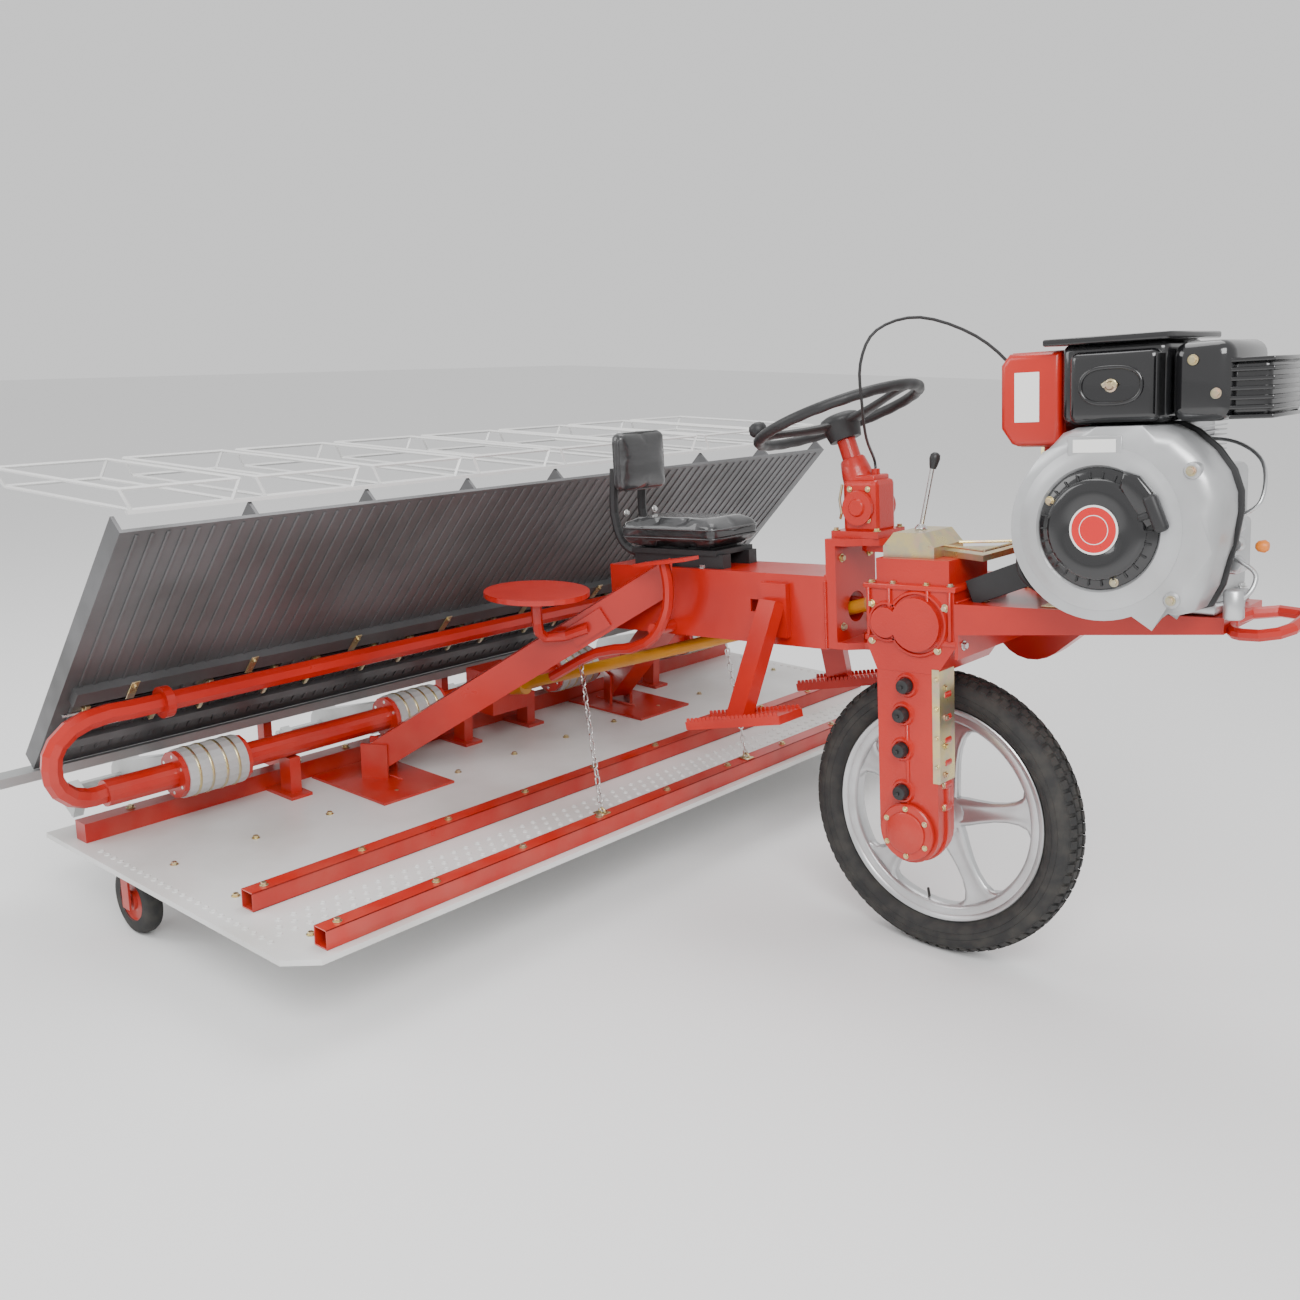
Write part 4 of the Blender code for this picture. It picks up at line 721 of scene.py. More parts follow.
grid_tree, given, build, end = node_tree("grid of like pieces", (("Unit", "Object"), ("Count", "Int"),
    ("Rows", "Int"), ("Start", "Vector"), ("Step", "Vector"), ("Row Step", "Vector"), ("Finish", "Material")))
unit = build("GeometryNodeObjectInfo", {"Object": given["Unit"]})
total = build("ShaderNodeMath", {0: given["Count"], 1: given["Rows"]}, operation="MULTIPLY")
index = build("GeometryNodeInputIndex")
share = build("ShaderNodeMath", {0: index, 1: given["Count"]}, operation="DIVIDE")
row = build("ShaderNodeMath", {0: share}, operation="FLOOR")
passed = build("ShaderNodeMath", {0: row, 1: given["Count"]}, operation="MULTIPLY")
column = build("ShaderNodeMath", {0: index, 1: passed}, operation="SUBTRACT")
along = build("ShaderNodeVectorMath", {0: given["Step"], "Scale": column}, operation="SCALE")
over = build("ShaderNodeVectorMath", {0: given["Row Step"], "Scale": row}, operation="SCALE")
both = build("ShaderNodeVectorMath", {0: along, 1: over}, operation="ADD")
where = build("ShaderNodeVectorMath", {0: both, 1: given["Start"]}, operation="ADD")
dots = build("GeometryNodeSetPosition", {"Geometry": build("GeometryNodePoints", {"Count": total}),
    "Position": where})
end(build("GeometryNodeInstanceOnPoints", {"Points": dots, "Instance": unit}))


def grid_of(name, shape, surface, place, count, step, start=(0, 0, 0), rows=1, row_step=(0, 0, 0)):
    """Copies of one unit along a step, and rows of them along another, in the place's own frame."""
    data = grown(name, grid_tree, {"Unit": pattern(name + " unit", shape), "Count": count, "Rows": rows,
        "Start": Vector(start), "Step": Vector(step), "Row Step": Vector(row_step), "Finish": surface})
    data.transform(place)
    return data


def spread(name, body, slot, shape, surface, place, count, step, angle=35, **rows):
    """A piece made of one unit repeated along a step."""
    return placed(name, grid_of(name, shape, surface, place, count, step, **rows), None, body, slot,
                  angle=angle)


ENGINE_X, ENGINE_Z = 0.435, 0.645
SHROUD_FACE = -0.25
silver = Finish("silver enamel", (0.50, 0.51, 0.52), 0.36, Metallic=0.55, Coat_Weight=0.2,
                Coat_Roughness=0.15)
silver.feed("Base Color", silver.mixed(silver.step(silver.noise(7, 4), 0.35, 0.8), (0.52, 0.53, 0.54),
    (0.40, 0.40, 0.40)))
silver.feed("Roughness", silver.noise(40, 3) * 0.2 + 0.26)
silver.bump(silver.noise(320, 2), 0.08, 0.0005)

shroud = bmesh.new()
circle = [(ENGINE_X + 0.158 * cos(radians(a)), ENGINE_Z + 0.158 * sin(radians(a)))
          for a in range(148, 297, 6)]
lobe = [(0.528, 0.507), (0.562, 0.500), (0.588, 0.508), (0.607, 0.545), (0.622, 0.610), (0.632, 0.668),
        (0.631, 0.700), (0.619, 0.735), (0.594, 0.770), (0.560, 0.800), (0.535, 0.813), (0.505, 0.815),
        (0.430, 0.815), (0.385, 0.814), (0.362, 0.806), (0.336, 0.775)]
slab(shroud, facing_right(0, -0.191, 0), circle + lobe, 0.117, 0.030, 5)
piece("fan shroud", shroud, silver.material, "power_unit", "silver_casting", "engine_shroud", angle=60)
lips = bmesh.new()
lathe(lips, facing_right(ENGINE_X, SHROUD_FACE, ENGINE_Z), [(0.104, 0.002), (0.108, 0.0065), (0.118, 0.0065),
    (0.127, 0.0035), (0.140, 0.0005), (0.140, -0.006), (0.104, -0.006)], 72)
block(lips, at(0.428, -0.2505, 0.784), (0.094, 0.004, 0.034), 0.0015)
for x, z in ((0.588, 0.742), (0.560, 0.530)):
    lathe(lips, facing_right(x, SHROUD_FACE, z), [(0, 0.004), (0.011, 0.004), (0.014, 0.001), (0.015, -0.012),
        (0, -0.012)], 24)
piece("shroud rims", lips, silver.material, "power_unit", "silver_casting", angle=40)
# A black sheet a little larger than the shroud outline, set just behind the shroud so that it shows along its
# edge: a painted shadow line along the shroud's edge.
shroud_shadow_strip = bmesh.new()
wide = [(ENGINE_X + (x - ENGINE_X) * 1.022, ENGINE_Z + (z - ENGINE_Z) * 1.022) for x, z in circle + lobe]
slab(shroud_shadow_strip, facing_right(0, -0.138, 0), wide, 0.010, 0.002)
piece("shroud gasket edge", shroud_shadow_strip, matt_black.material, "power_unit", "black_plastic")

starter = bmesh.new()
lathe(starter, facing_right(ENGINE_X, SHROUD_FACE, ENGINE_Z), [(0, 0.0185), (0.044, 0.0185), (0.046, 0.0200),
    (0.078, 0.0195), (0.084, 0.0165), (0.087, 0.0100), (0.099, 0.0080), (0.1035, 0.0040), (0.1035, -0.004),
    (0, -0.004)], 72)
outlet = [(0.048, 0.098), (0.075, 0.090), (0.098, 0.062), (0.112, 0.020), (0.088, 0.004), (0.066, 0.040),
          (0.040, 0.070)]
slab(starter, facing_right(ENGINE_X, SHROUD_FACE - 0.009, ENGINE_Z), outlet, 0.022, 0.006, 3)
piece("hand starter", starter, gloss_black.material, "power_unit", "black_paint", "recoil_cover", angle=45)
slots = bmesh.new()
block(slots, Matrix.Translation((0.0915, 0, 0)), (0.012, 0.0032, 0.003), 0.0008)
placed("starter vents", ring_of("starter vents", slots, 26, matt_black.material,
    facing_right(ENGINE_X, SHROUD_FACE - 0.0105, ENGINE_Z)), None, "power_unit", "black_plastic")
grip = bmesh.new()
block(grip, at(ENGINE_X + 0.104, SHROUD_FACE - 0.0195, ENGINE_Z + 0.030, pitch=-22), (0.023, 0.021, 0.064),
      0.0075, 4)
drum(grip, TILTED @ Matrix.Translation((ENGINE_X + 0.086, SHROUD_FACE - 0.018, ENGINE_Z + 0.025))
     @ Matrix.Rotation(radians(68), 4, "Y"), 0.0065, 0.022, 16)
piece("starter handle", grip, matt_black.material, "power_unit", "black_plastic", angle=60)
disc_red = Finish("red label film", (0.62, 0.012, 0.014), 0.30)
disc_red.feed("Roughness", disc_red.noise(30, 3) * 0.2 + 0.2)
face = facing_right(ENGINE_X, SHROUD_FACE - 0.0186, ENGINE_Z)
disc = bmesh.new()
lathe(disc, face, [(0, 0.0006), (0.0385, 0.0006), (0.0388, 0), (0, 0)], 56)
piece("starter disc", disc, disc_red.material, "power_unit", "red_paint")
disc = bmesh.new()
for inner, outer in ((0.0388, 0.0420), (0.0240, 0.0252)):
    lathe(disc, face, [(inner, 0.0008), (outer, 0.0008), (outer + 0.0002, 0), (inner, 0)], 56)
block(disc, at(0.428, -0.2533, 0.784), (0.074, 0.001, 0.022), 0.0003)
block(disc, at(0.288, -0.2106, 0.868), (0.046, 0.0010, 0.086), 0.0003)
piece("blank labels", disc, blank.material, "power_unit", "white_wire")

tank = bmesh.new()
tank_outline = [(0.236, 0.814), (0.236, 0.925), (0.252, 0.944), (0.348, 0.944), (0.348, 0.782),
                (0.268, 0.782), (0.256, 0.786)]
slab(tank, facing_right(0, -0.03, 0), tank_outline, 0.36, 0.012, 4)
slab(tank, facing_right(0, -0.186, 0), [(0.292 + (x - 0.292) * 1.02, 0.863 + (z - 0.863) * 1.02) for x,
    z in tank_outline], 0.005, 0.002)
drum(tank, at(0.312, -0.16, 0.772), 0.013, 0.03, 20, 0.003)
piece("fuel tank shell", tank, red_enamel, "power_unit", "red_paint", "fuel_tank", angle=45)
caps = bmesh.new()
lathe(caps, at(0.290, 0.06, 0.944), [(0, 0.024), (0.020, 0.024), (0.0245, 0.020), (0.0245, 0.006),
    (0.019, 0.002), (0.019, 0), (0, 0)], 40)
rod(caps, smooth_path([(0.312, -0.16, 0.762), (0.292, -0.176, 0.70), (0.268, -0.178, 0.63),
                       (0.252, -0.165, 0.56), (0.262, -0.12, 0.515), (0.305, -0.09, 0.505)]), 0.0048, 10)
block(caps, at(0.205, -0.118, 0.527, pitch=-21), (0.165, 0.004, 0.050), 0.001)
block(caps, at(0.205, -0.060, 0.548, pitch=-21), (0.165, 0.116, 0.003), 0.001)
piece("cap and fuel hose", caps, matt_black.material, "power_unit", "black_plastic", angle=40)
zinc_box = bmesh.new()
block(zinc_box, at(0.290, -0.055, 0.706), (0.055, 0.090, 0.140), 0.003, 2)
bolt(zinc_box, at(0.270, -0.1005, 0.745, roll=90), 0.005, 0.004)
rod(zinc_box, [(0.200, 0.03, 0.485), (0.222, 0.03, 0.640)], 0.004, 12)
piece("governor bracket", zinc_box, zinc.material, "power_unit", "zinc_plate")
handle = bmesh.new()
lathe(handle, at(0.2215, 0.03, 0.636, pitch=8), [(0, 0.046), (0.005, 0.045), (0.0085, 0.040), (0.0075, 0.010),
    (0.006, 0), (0, 0)], 24)
piece("clutch lever grip", handle, matt_black.material, "power_unit", "black_plastic")

cleaner = bmesh.new()
block(cleaner, at(0.4425, -0.128, 0.886), (0.183, 0.176, 0.136), 0.016, 4)
block(cleaner, at(0.450, -0.222, 0.880), (0.152, 0.030, 0.118), 0.014, 5)
slab(cleaner, at(0.438, -0.095, 0.958), [(-0.112, -0.135), (0.098, -0.135), (0.107, -0.120), (0.107, 0.10),
    (-0.112, 0.10)], 0.012, 0.003)
oval = [(0.448 + 0.052 * (1 if cos(a) > 0 else -1) * abs(cos(a)) ** 0.7, -0.2375,
         0.882 + 0.030 * (1 if sin(a) > 0 else -1) * abs(sin(a)) ** 0.9)
        for a in (2 * pi * k / 48 for k in range(48))]
rod(cleaner, oval, 0.0034, 10, closed=True)
piece("air cleaner case", cleaner, gloss_black.material, "power_unit", "black_paint", "air_cleaner", angle=50)
fins = bmesh.new()
block(fins, Matrix.Identity(4), (0.0022, 0.034, 0.100), 0.0006)
spread("air cleaner ribs", "power_unit", "black_plastic", fins, matt_black.material,
       at(0.5275, -0.214, 0.880), 5, (0.0, 0.009, 0.0), start=(0.0, -0.018, 0.0))
wing = bmesh.new()
lathe(wing, facing_right(0.448, -0.2365, 0.882), [(0, 0.007), (0.0055, 0.007), (0.008, 0.003),
    (0.011, 0.0015), (0.011, 0), (0, 0)], 28)
for side in (-1, 1):
    block(wing, at(0.448 + side * 0.008, -0.2425, 0.884, pitch=side * 35), (0.010, 0.0025, 0.008), 0.001, 2)
for x, z in ((0.575, 0.916), (0.612, 0.862)):
    bolt(wing, facing_right(x, -0.2205, z), 0.006, 0.004)
for a in (25, 150, 290):
    bolt(wing, facing_right(ENGINE_X + 0.0945 * cos(radians(a)), SHROUD_FACE - 0.0085,
                            ENGINE_Z + 0.0945 * sin(radians(a))), 0.0055, 0.004)
for x, z in ((0.588, 0.742), (0.560, 0.530)):
    bolt(wing, facing_right(x, SHROUD_FACE - 0.004, z), 0.006, 0.004)
piece("engine fastenings", wing, zinc.material, "power_unit", "zinc_plate", angle=30)

silencer = bmesh.new()
block(silencer, at(0.5865, -0.120, 0.8815), (0.098, 0.198, 0.128), 0.024, 5)
block(silencer, at(0.5865, -0.2150, 0.8855), (0.060, 0.006, 0.080), 0.0028, 2)
block(silencer, at(0.660, -0.120, 0.868), (0.060, 0.170, 0.088), 0.010, 3)
piece("silencer", silencer, gloss_black.material, "power_unit", "black_paint", "muffler", angle=50)
slat = bmesh.new()
block(slat, Matrix.Identity(4), (0.068, 0.180, 0.0070), 0.0025, 2)
spread("silencer guard", "power_unit", "black_paint", slat, gloss_black.material, at(0.662, -0.120, 0.8235),
       7, (0, 0, 0.0148), angle=40)

block_shape = bmesh.new()
block(block_shape, at(0.445, -0.004, 0.615), (0.246, 0.244, 0.236), 0.016, 3)
block(block_shape, at(0.445, -0.01, 0.4925), (0.278, 0.188, 0.022), 0.004, 2)
block(block_shape, at(0.4425, -0.035, 0.790), (0.180, 0.130, 0.050), 0.006, 2)
lathe(block_shape, TILTED @ Matrix.Translation((0.435, 0.1195, 0.640)) @ Matrix.Rotation(radians(-90), 4,
    "X"), [(0, 0.024), (0.040, 0.024), (0.046, 0.020), (0.075, 0.010), (0.088, 0.006), (0.092, -0.004),
           (0, -0.004)], 56)
block(block_shape, at(0.590, -0.070, 0.602), (0.060, 0.066, 0.096), 0.010, 3)
for z in (0.575, 0.608, 0.640):
    drum(block_shape, facing_right(0.616, -0.108, z), 0.013, 0.022, 20, 0.002)
rod(block_shape, smooth_path([(0.612, -0.105, 0.650), (0.650, -0.100, 0.680), (0.640, -0.060, 0.740),
                              (0.590, -0.040, 0.775), (0.520, -0.040, 0.785)]), 0.0035, 10)
rod(block_shape, smooth_path([(0.620, -0.118, 0.585), (0.655, -0.130, 0.560), (0.645, -0.150, 0.525),
                              (0.600, -0.150, 0.510)]), 0.004, 10)
drum(block_shape, at(0.628, -0.150, 0.512), 0.017, 0.050, 24, 0.003)
piece("crankcase", block_shape, cast_silver.material, "power_unit", "silver_casting", "engine_block",
      angle=45)
fins = bmesh.new()
block(fins, Matrix.Identity(4), (0.205, 0.172, 0.0024), 0.0006)
spread("cylinder fins", "power_unit", "silver_casting", fins, cast_silver.material, at(0.4425, -0.033, 0.742),
       8, (0, 0, 0.0086))
tap = bmesh.new()
lathe(tap, at(0.650, -0.118, 0.607, pitch=90), [(0, 0.020), (0.007, 0.020), (0.011, 0.014), (0.009, 0.004),
    (0.005, 0), (0, 0)], 24)
orange_cap = Finish("orange plastic", (0.72, 0.20, 0.02), 0.4)
orange_cap.feed("Roughness", orange_cap.noise(90, 3) * 0.2 + 0.3)
piece("fuel cock cap", tap, orange_cap.material, "power_unit", "orange_paint", angle=50)
mounts = bmesh.new()
for x in (0.325, 0.565):
    for y in (-0.11, 0.09):
        bolt(mounts, at(x, y, 0.5035), 0.008, 0.007)
for z in (0.395, 0.465):
    bolt(mounts, at(0.120, -0.130, z, pitch=90), 0.007, 0.006)
piece("engine feet bolts", mounts, bright.material, "power_unit", "zinc_plate")


# ---- Operator's seat ------------------------------------------------------------------------------------
# A foam cushion and a small back covered in black vinyl, both still under their clear film, on a folded
# black frame that stands on the beam.

vinyl = Finish("black vinyl under film", (0.014, 0.014, 0.015), 0.42, Coat_Weight=0.85, Coat_Roughness=0.07)
grain = vinyl.noise(700, 2)
vinyl.feed("Roughness", vinyl.noise(16, 4) * 0.25 + 0.30)
# The crease mask bumps the vinyl into real creases and also paints the creases a lighter grey: a painted
# sheen along the creases.
creases_and_sheen = vinyl.step(vinyl.noise(13, 4, (1.0, 0.35, 1.6)), 0.42, 0.60)
vinyl.feed("Base Color", vinyl.mixed(creases_and_sheen, (0.012, 0.012, 0.013), (0.028, 0.028, 0.030)))
vinyl.bump(creases_and_sheen * 0.9 + grain * 0.1, 0.45, 0.0022)

SEAT_GROWTH = 0.010


def cushion(name, place, size, corner, replaced):
    """A closed cushion: a rounded block blown up by cloth pressure, which stays within SEAT_GROWTH of it."""
    shape = bmesh.new()
    block(shape, place, size, corner, 5)
    foam = bpy.data.objects.new(name, mesh_of(name, shape))
    bpy.context.scene.collection.objects.link(foam)
    remesh = foam.modifiers.new("remesh", "REMESH")
    remesh.mode = "VOXEL"
    remesh.voxel_size = 0.006
    rested = evaluated(foam)
    foam.modifiers.remove(remesh)
    foam.data = rested
    start = [v.co.copy() for v in rested.vertices]
    cloth = foam.modifiers.new("cloth", "CLOTH")
    cloth.settings.use_pressure = True
    cloth.settings.uniform_pressure_force = 4
    cloth.settings.effector_weights.gravity = 0
    cloth.settings.quality = 4
    for number in range(1, 21):
        bpy.context.scene.frame_set(number)
    blown = evaluated(foam)
    foam.modifiers.remove(cloth)
    bpy.context.scene.frame_set(1)
    for vertex, old in zip(blown.vertices, start):
        shift = vertex.co - old
        vertex.co = old + shift * min(1.0, SEAT_GROWTH / max(shift.length, 1e-9))
    foam.data = blown
    smooth = foam.modifiers.new("smooth", "SUBSURF")
    smooth.levels = smooth.render_levels = 1
    final = evaluated(foam)
    bpy.data.objects.remove(foam)
    made = placed(name, final, vinyl.material, "frame", "black_vinyl", replaced, angle=180)
    return made


CUSHION = at(-0.670, 0, 0.587)
BACKREST = at(-0.8187, 0, 0.753)
cushion("seat pad", CUSHION, (0.298, 0.180, 0.050), 0.019, "seat_cushion")
cushion("backrest pad", BACKREST, (0.040, 0.166, 0.140), 0.016, "seat_back")
welt = bmesh.new()
for place, half_x, half_y, corner, height in ((CUSHION, 0.1475, 0.0885, 0.026, 0.0105),
        (BACKREST @ Matrix.Rotation(radians(90), 4, "Y"), 0.0685, 0.0815, 0.024, 0.0085)):
    for level in (-height, height):
        loop = []
        for k in range(32):
            angle = 2 * pi * (k + 0.5) / 32
            loop.append(((half_x - corner) * (1 if cos(angle) > 0 else -1) + corner * cos(angle),
                         (half_y - corner) * (1 if sin(angle) > 0 else -1) + corner * sin(angle), level))
        rod(welt, loop, 0.0022, 8, base=place, closed=True)
piece("seat welts", welt, vinyl.material, "frame", "black_vinyl", angle=60)
paint(matt_black.material, "seat_frame")
seat_bolts = bmesh.new()
for y in (-0.052, 0.052):
    for z in (0.600, 0.630):
        bolt(seat_bolts, at(-0.8225, y, z, pitch=90), 0.006, 0.005)
for x in (-0.58, -0.75):
    for y in (-0.066, 0.066):
        bolt(seat_bolts, at(x, y, 0.5075), 0.007, 0.006)
piece("seat bolts", seat_bolts, bright.material, "frame", "zinc_plate")


# ---- Beam, platform and footrests -----------------------------------------------------------------------
# Welded red steel. The welds are beads of short ripples, the footrests have turned-up toothed edges, and
# zinc plates lie on the platform.

ripple = bmesh.new()
bmesh.ops.create_icosphere(ripple, subdivisions=2, radius=0.0042, matrix=Matrix.Diagonal((0.75, 1, 0.8, 1)))
RIPPLE_PITCH = 0.0042
WELDS = (("weld beam front right", "frame", TILTED, (-0.2315, -0.081, 0.352), (-0.2315, -0.081, 0.502)),
         ("weld beam front left", "frame", TILTED, (-0.2315, 0.081, 0.352), (-0.2315, 0.081, 0.502)),
         ("weld beam front top", "frame", TILTED, (-0.2315, -0.078, 0.508), (-0.2315, 0.078, 0.508)),
         ("weld right plate rear", "frame", LEVEL, (-1.44, -0.445, 0.1928), (-1.28, -0.445, 0.1928)),
         ("weld left plate rear", "frame", LEVEL, (-1.44, 0.445, 0.1928), (-1.28, 0.445, 0.1928)),
         ("weld platform rear", "power_unit", TILTED, (0.1135, -0.145, 0.4815), (0.1135, 0.135, 0.4815)))
for name, body, base, start, end in WELDS:
    step = (Vector(end) - Vector(start)).normalized()
    count = int((Vector(end) - Vector(start)).length / RIPPLE_PITCH)
    turn = step.to_track_quat("X", "Z").to_matrix().to_4x4()
    spread(name, body, "red_paint", ripple.copy(), red_enamel, base @ Matrix.Translation(start) @ turn, count,
           (RIPPLE_PITCH, 0, 0), angle=60)
ripple.free()

tooth = bmesh.new()
slab(tooth, Matrix.Rotation(radians(90), 4, "X"), [(-0.0052, 0), (0.0052, 0), (0.0040, 0.008),
    (0.0012, 0.0095), (-0.0012, 0.0095), (-0.0040, 0.008)], 0.0025, 0.0004, 1)
for side, name in ((-1, "right"), (1, "left")):
    pad = at(-0.365, side * 0.215, 0.205, pitch=-10)
    for edge, label in ((-0.0412, "inner"), (0.0412, "outer")):
        spread(f"{name} footrest {label} teeth", "frame", "red_paint", tooth.copy(), red_enamel, pad, 22,
               (0.0115, 0, 0), start=(-0.121, edge, 0.008))
tooth.free()
hub = bmesh.new()
block(hub, at(0.258, 0.075, 0.4815), (0.10, 0.09, 0.003), 0.001)
block(hub, at(0.305, -0.012, 0.4815), (0.06, 0.22, 0.003), 0.001)
for x, y in ((0.150, -0.10), (0.150, 0.09), (0.578, 0.02)):
    bolt(hub, at(x, y, 0.4805), 0.007, 0.006)
piece("platform fastenings", hub, zinc.material, "power_unit", "zinc_plate")


# ---- Float board ----------------------------------------------------------------------------------------
# A wide sheet of white plastic held under two square tubes. Rows of small bolts hold it, and two bands of
# pressed dimples grip the helpers' feet.

sheet = Finish("white board sheet", (0.70, 0.70, 0.69), 0.40, Coat_Weight=0.25, Coat_Roughness=0.2)
sheet.feed("Base Color", sheet.mixed(sheet.step(sheet.noise(3.5, 6), 0.45, 0.8), (0.72, 0.72, 0.71),
    (0.56, 0.55, 0.52)))
sheet.feed("Roughness", sheet.noise(11, 5) * 0.3 + 0.25)
sheet.bump(sheet.noise(9, 2), 0.08, 0.003)
white_wire = Finish("white coated wire", (0.74, 0.74, 0.73), 0.32, Coat_Weight=0.3)
white_wire.feed("Roughness", white_wire.noise(60, 3) * 0.2 + 0.22)
white_wire.bump(white_wire.noise(300, 2), 0.1, 0.0003)
paint(sheet.material, "float_board")
paint(white_wire.material, "spare_mat_racks")

BOARD_TOP = 0.185
RAIL_SIZE, RAIL_WALL = 0.040, 0.0025
tubes = bmesh.new()
for x in (-0.675, -0.920):
    for side in (-1, 1):
        block(tubes, at(x + side * (RAIL_SIZE - RAIL_WALL) / 2, 0, BOARD_TOP + RAIL_SIZE / 2, LEVEL),
              (RAIL_WALL, 2.24, RAIL_SIZE), 0.0008)
        block(tubes, at(x, 0, BOARD_TOP + RAIL_SIZE / 2 + side * (RAIL_SIZE - RAIL_WALL) / 2, LEVEL),
              (RAIL_SIZE, 2.24, RAIL_WALL), 0.0008)
piece("square rails", tubes, red_enamel, "frame", "red_paint", "front_rail", "second_rail")

stud = bmesh.new()
bolt(stud, Matrix.Identity(4), 0.0065, 0.005)
for name, start, count, step, rows, row_step in (("rail bolts", (-0.675, -1.08, BOARD_TOP + RAIL_SIZE), 10,
        (0, 0.24, 0), 2, (-0.245, 0, 0)), ("board bolts", (-0.735, -1.10, BOARD_TOP), 12, (0, 0.20, 0), 2,
        (-0.26, 0, 0)), ("board rear bolts", (-1.235, -1.10, BOARD_TOP), 12, (0, 0.20, 0), 2, (-0.33, 0, 0))):
    spread(name, "frame", "zinc_plate", stud.copy(), zinc.material, LEVEL, count, step, start=start,
           rows=rows, row_step=row_step)
stud.free()
dimple = bmesh.new()
lathe(dimple, Matrix.Identity(4), [(0, 0.0006), (0.0034, 0.0006), (0.0052, 0.0022), (0.0070, 0.0004),
    (0.0075, -0.002), (0, -0.002)], 12)
for name, start, count, step, rows, row_step in (("front dimples", (-0.780, -1.14, BOARD_TOP), 66,
        (0, 0.0345, 0), 3, (-0.028, 0.01725, 0)), ("right dimples", (-1.42, -1.17, BOARD_TOP), 24,
        (0.0285, 0, 0), 1, (0, 0.022, 0)), ("left dimples", (-1.42, 1.17, BOARD_TOP), 24, (0.0285, 0, 0), 1,
        (0, -0.022, 0))):
    spread(name, "frame", "board_sheet", dimple.copy(), sheet.material, LEVEL, count, step, start=start,
           rows=rows, row_step=row_step, angle=60)
dimple.free()
under = bmesh.new()
lathe(under, Matrix.Rotation(radians(180), 4, "X"), [(0, 0.010), (0.004, 0.010), (0.006, 0.007),
    (0.006, -0.002), (0, -0.002)], 12)
spread("studs under the edge", "frame", "zinc_plate", under, zinc.material, LEVEL, 23, (0, 0.1, 0),
       start=(-0.655, -1.1, BOARD_TOP - 0.012))


# ---- Rear wheels ----------------------------------------------------------------------------------------
# Two solid rubber wheels on red hubs, each in a small fork under the board.

for side, name in ((-1, "right"), (1, "left")):
    place = LEVEL @ Matrix.Translation((-1.358, side * 1.125, 0.078)) @ side_out
    tyre = bmesh.new()
    lathe(tyre, place, [(0.046, 0.0185), (0.064, 0.0190), (0.074, 0.0165), (0.0778, 0.0090), (0.0780, 0.0),
                        (0.0778, -0.0090), (0.074, -0.0165), (0.064, -0.0190), (0.046, -0.0185)], 56)
    body = f"{name}_support_wheel_body"
    piece(f"{name} rear tyre", tyre, rubber.material, body, "wheel_rubber", f"{name}_support_wheel", angle=50)
    core = bmesh.new()
    lathe(core, place, [(0.0082, 0.0205), (0.021, 0.0205), (0.022, 0.0140), (0.030, 0.0100), (0.044, 0.0120),
                        (0.0470, 0.0188), (0.0475, 0.0), (0.0470, -0.0188), (0.044, -0.0120),
                        (0.030, -0.0100), (0.022, -0.0140), (0.021, -0.0205), (0.0082, -0.0205)], 48)
    piece(f"{name} rear hub", core, red_enamel, body, "red_paint", angle=40)
    block_shape = bmesh.new()
    block(block_shape, Matrix.Translation((0.0764, 0, 0)), (0.0030, 0.0022, 0.012), 0.0006)
    placed(f"{name} rear tread", ring_of(f"{name} rear tread", block_shape, 44, rubber.material, place), None,
           body, "wheel_rubber")


# ---- Planting gear --------------------------------------------------------------------------------------
# Four cast cases clamped on the cross tube, with red clamp flanges and zinc covers. An amber painted shaft
# under the beam drives them.

plain_cast = Finish("grey cast iron paint", (0.52, 0.53, 0.53), 0.42, Metallic=0.35)
plain_cast.feed("Base Color", plain_cast.mixed(plain_cast.step(plain_cast.noise(8, 4), 0.35, 0.8),
    (0.56, 0.57, 0.57), (0.40, 0.40, 0.39)))
plain_cast.feed("Roughness", plain_cast.noise(30, 4) * 0.25 + 0.3)
plain_cast.bump(plain_cast.noise(240, 3), 0.4, 0.0008)
amber = Finish("amber shaft paint", (0.60, 0.26, 0.015), 0.35, Coat_Weight=0.2)
amber.feed("Base Color", amber.mixed(amber.step(amber.noise(12, 4), 0.4, 0.8), (0.62, 0.27, 0.015),
    (0.42, 0.17, 0.02)))
amber.bump(amber.noise(150, 3), 0.15, 0.0006)
grey_steel = Finish("grey galvanised rail", (0.42, 0.43, 0.43), 0.42, Metallic=0.7)
grey_steel.feed("Roughness", grey_steel.noise(25, 4) * 0.3 + 0.3)
grey_steel.bump(grey_steel.noise(160, 3), 0.1, 0.0005)
tray_steel = Finish("dark tray sheet", (0.15, 0.15, 0.155), 0.38, Metallic=0.55)
tray_steel.feed("Base Color", tray_steel.mixed(tray_steel.step(tray_steel.noise(4, 5), 0.4, 0.75),
    (0.16, 0.16, 0.165), (0.10, 0.10, 0.10)))
tray_steel.feed("Roughness", tray_steel.noise(16, 4) * 0.25 + 0.28)
tray_steel.bump(tray_steel.noise(10, 2), 0.06, 0.003)
paint(plain_cast.material, "planting_case_1", "planting_case_2", "planting_case_3", "planting_case_4")
paint(amber.material, "drive_shaft")
paint(grey_steel.material, "slide_rail")
paint(tray_steel.material, "seedling_tray")
paint(matt_black.material, "throttle_cable")

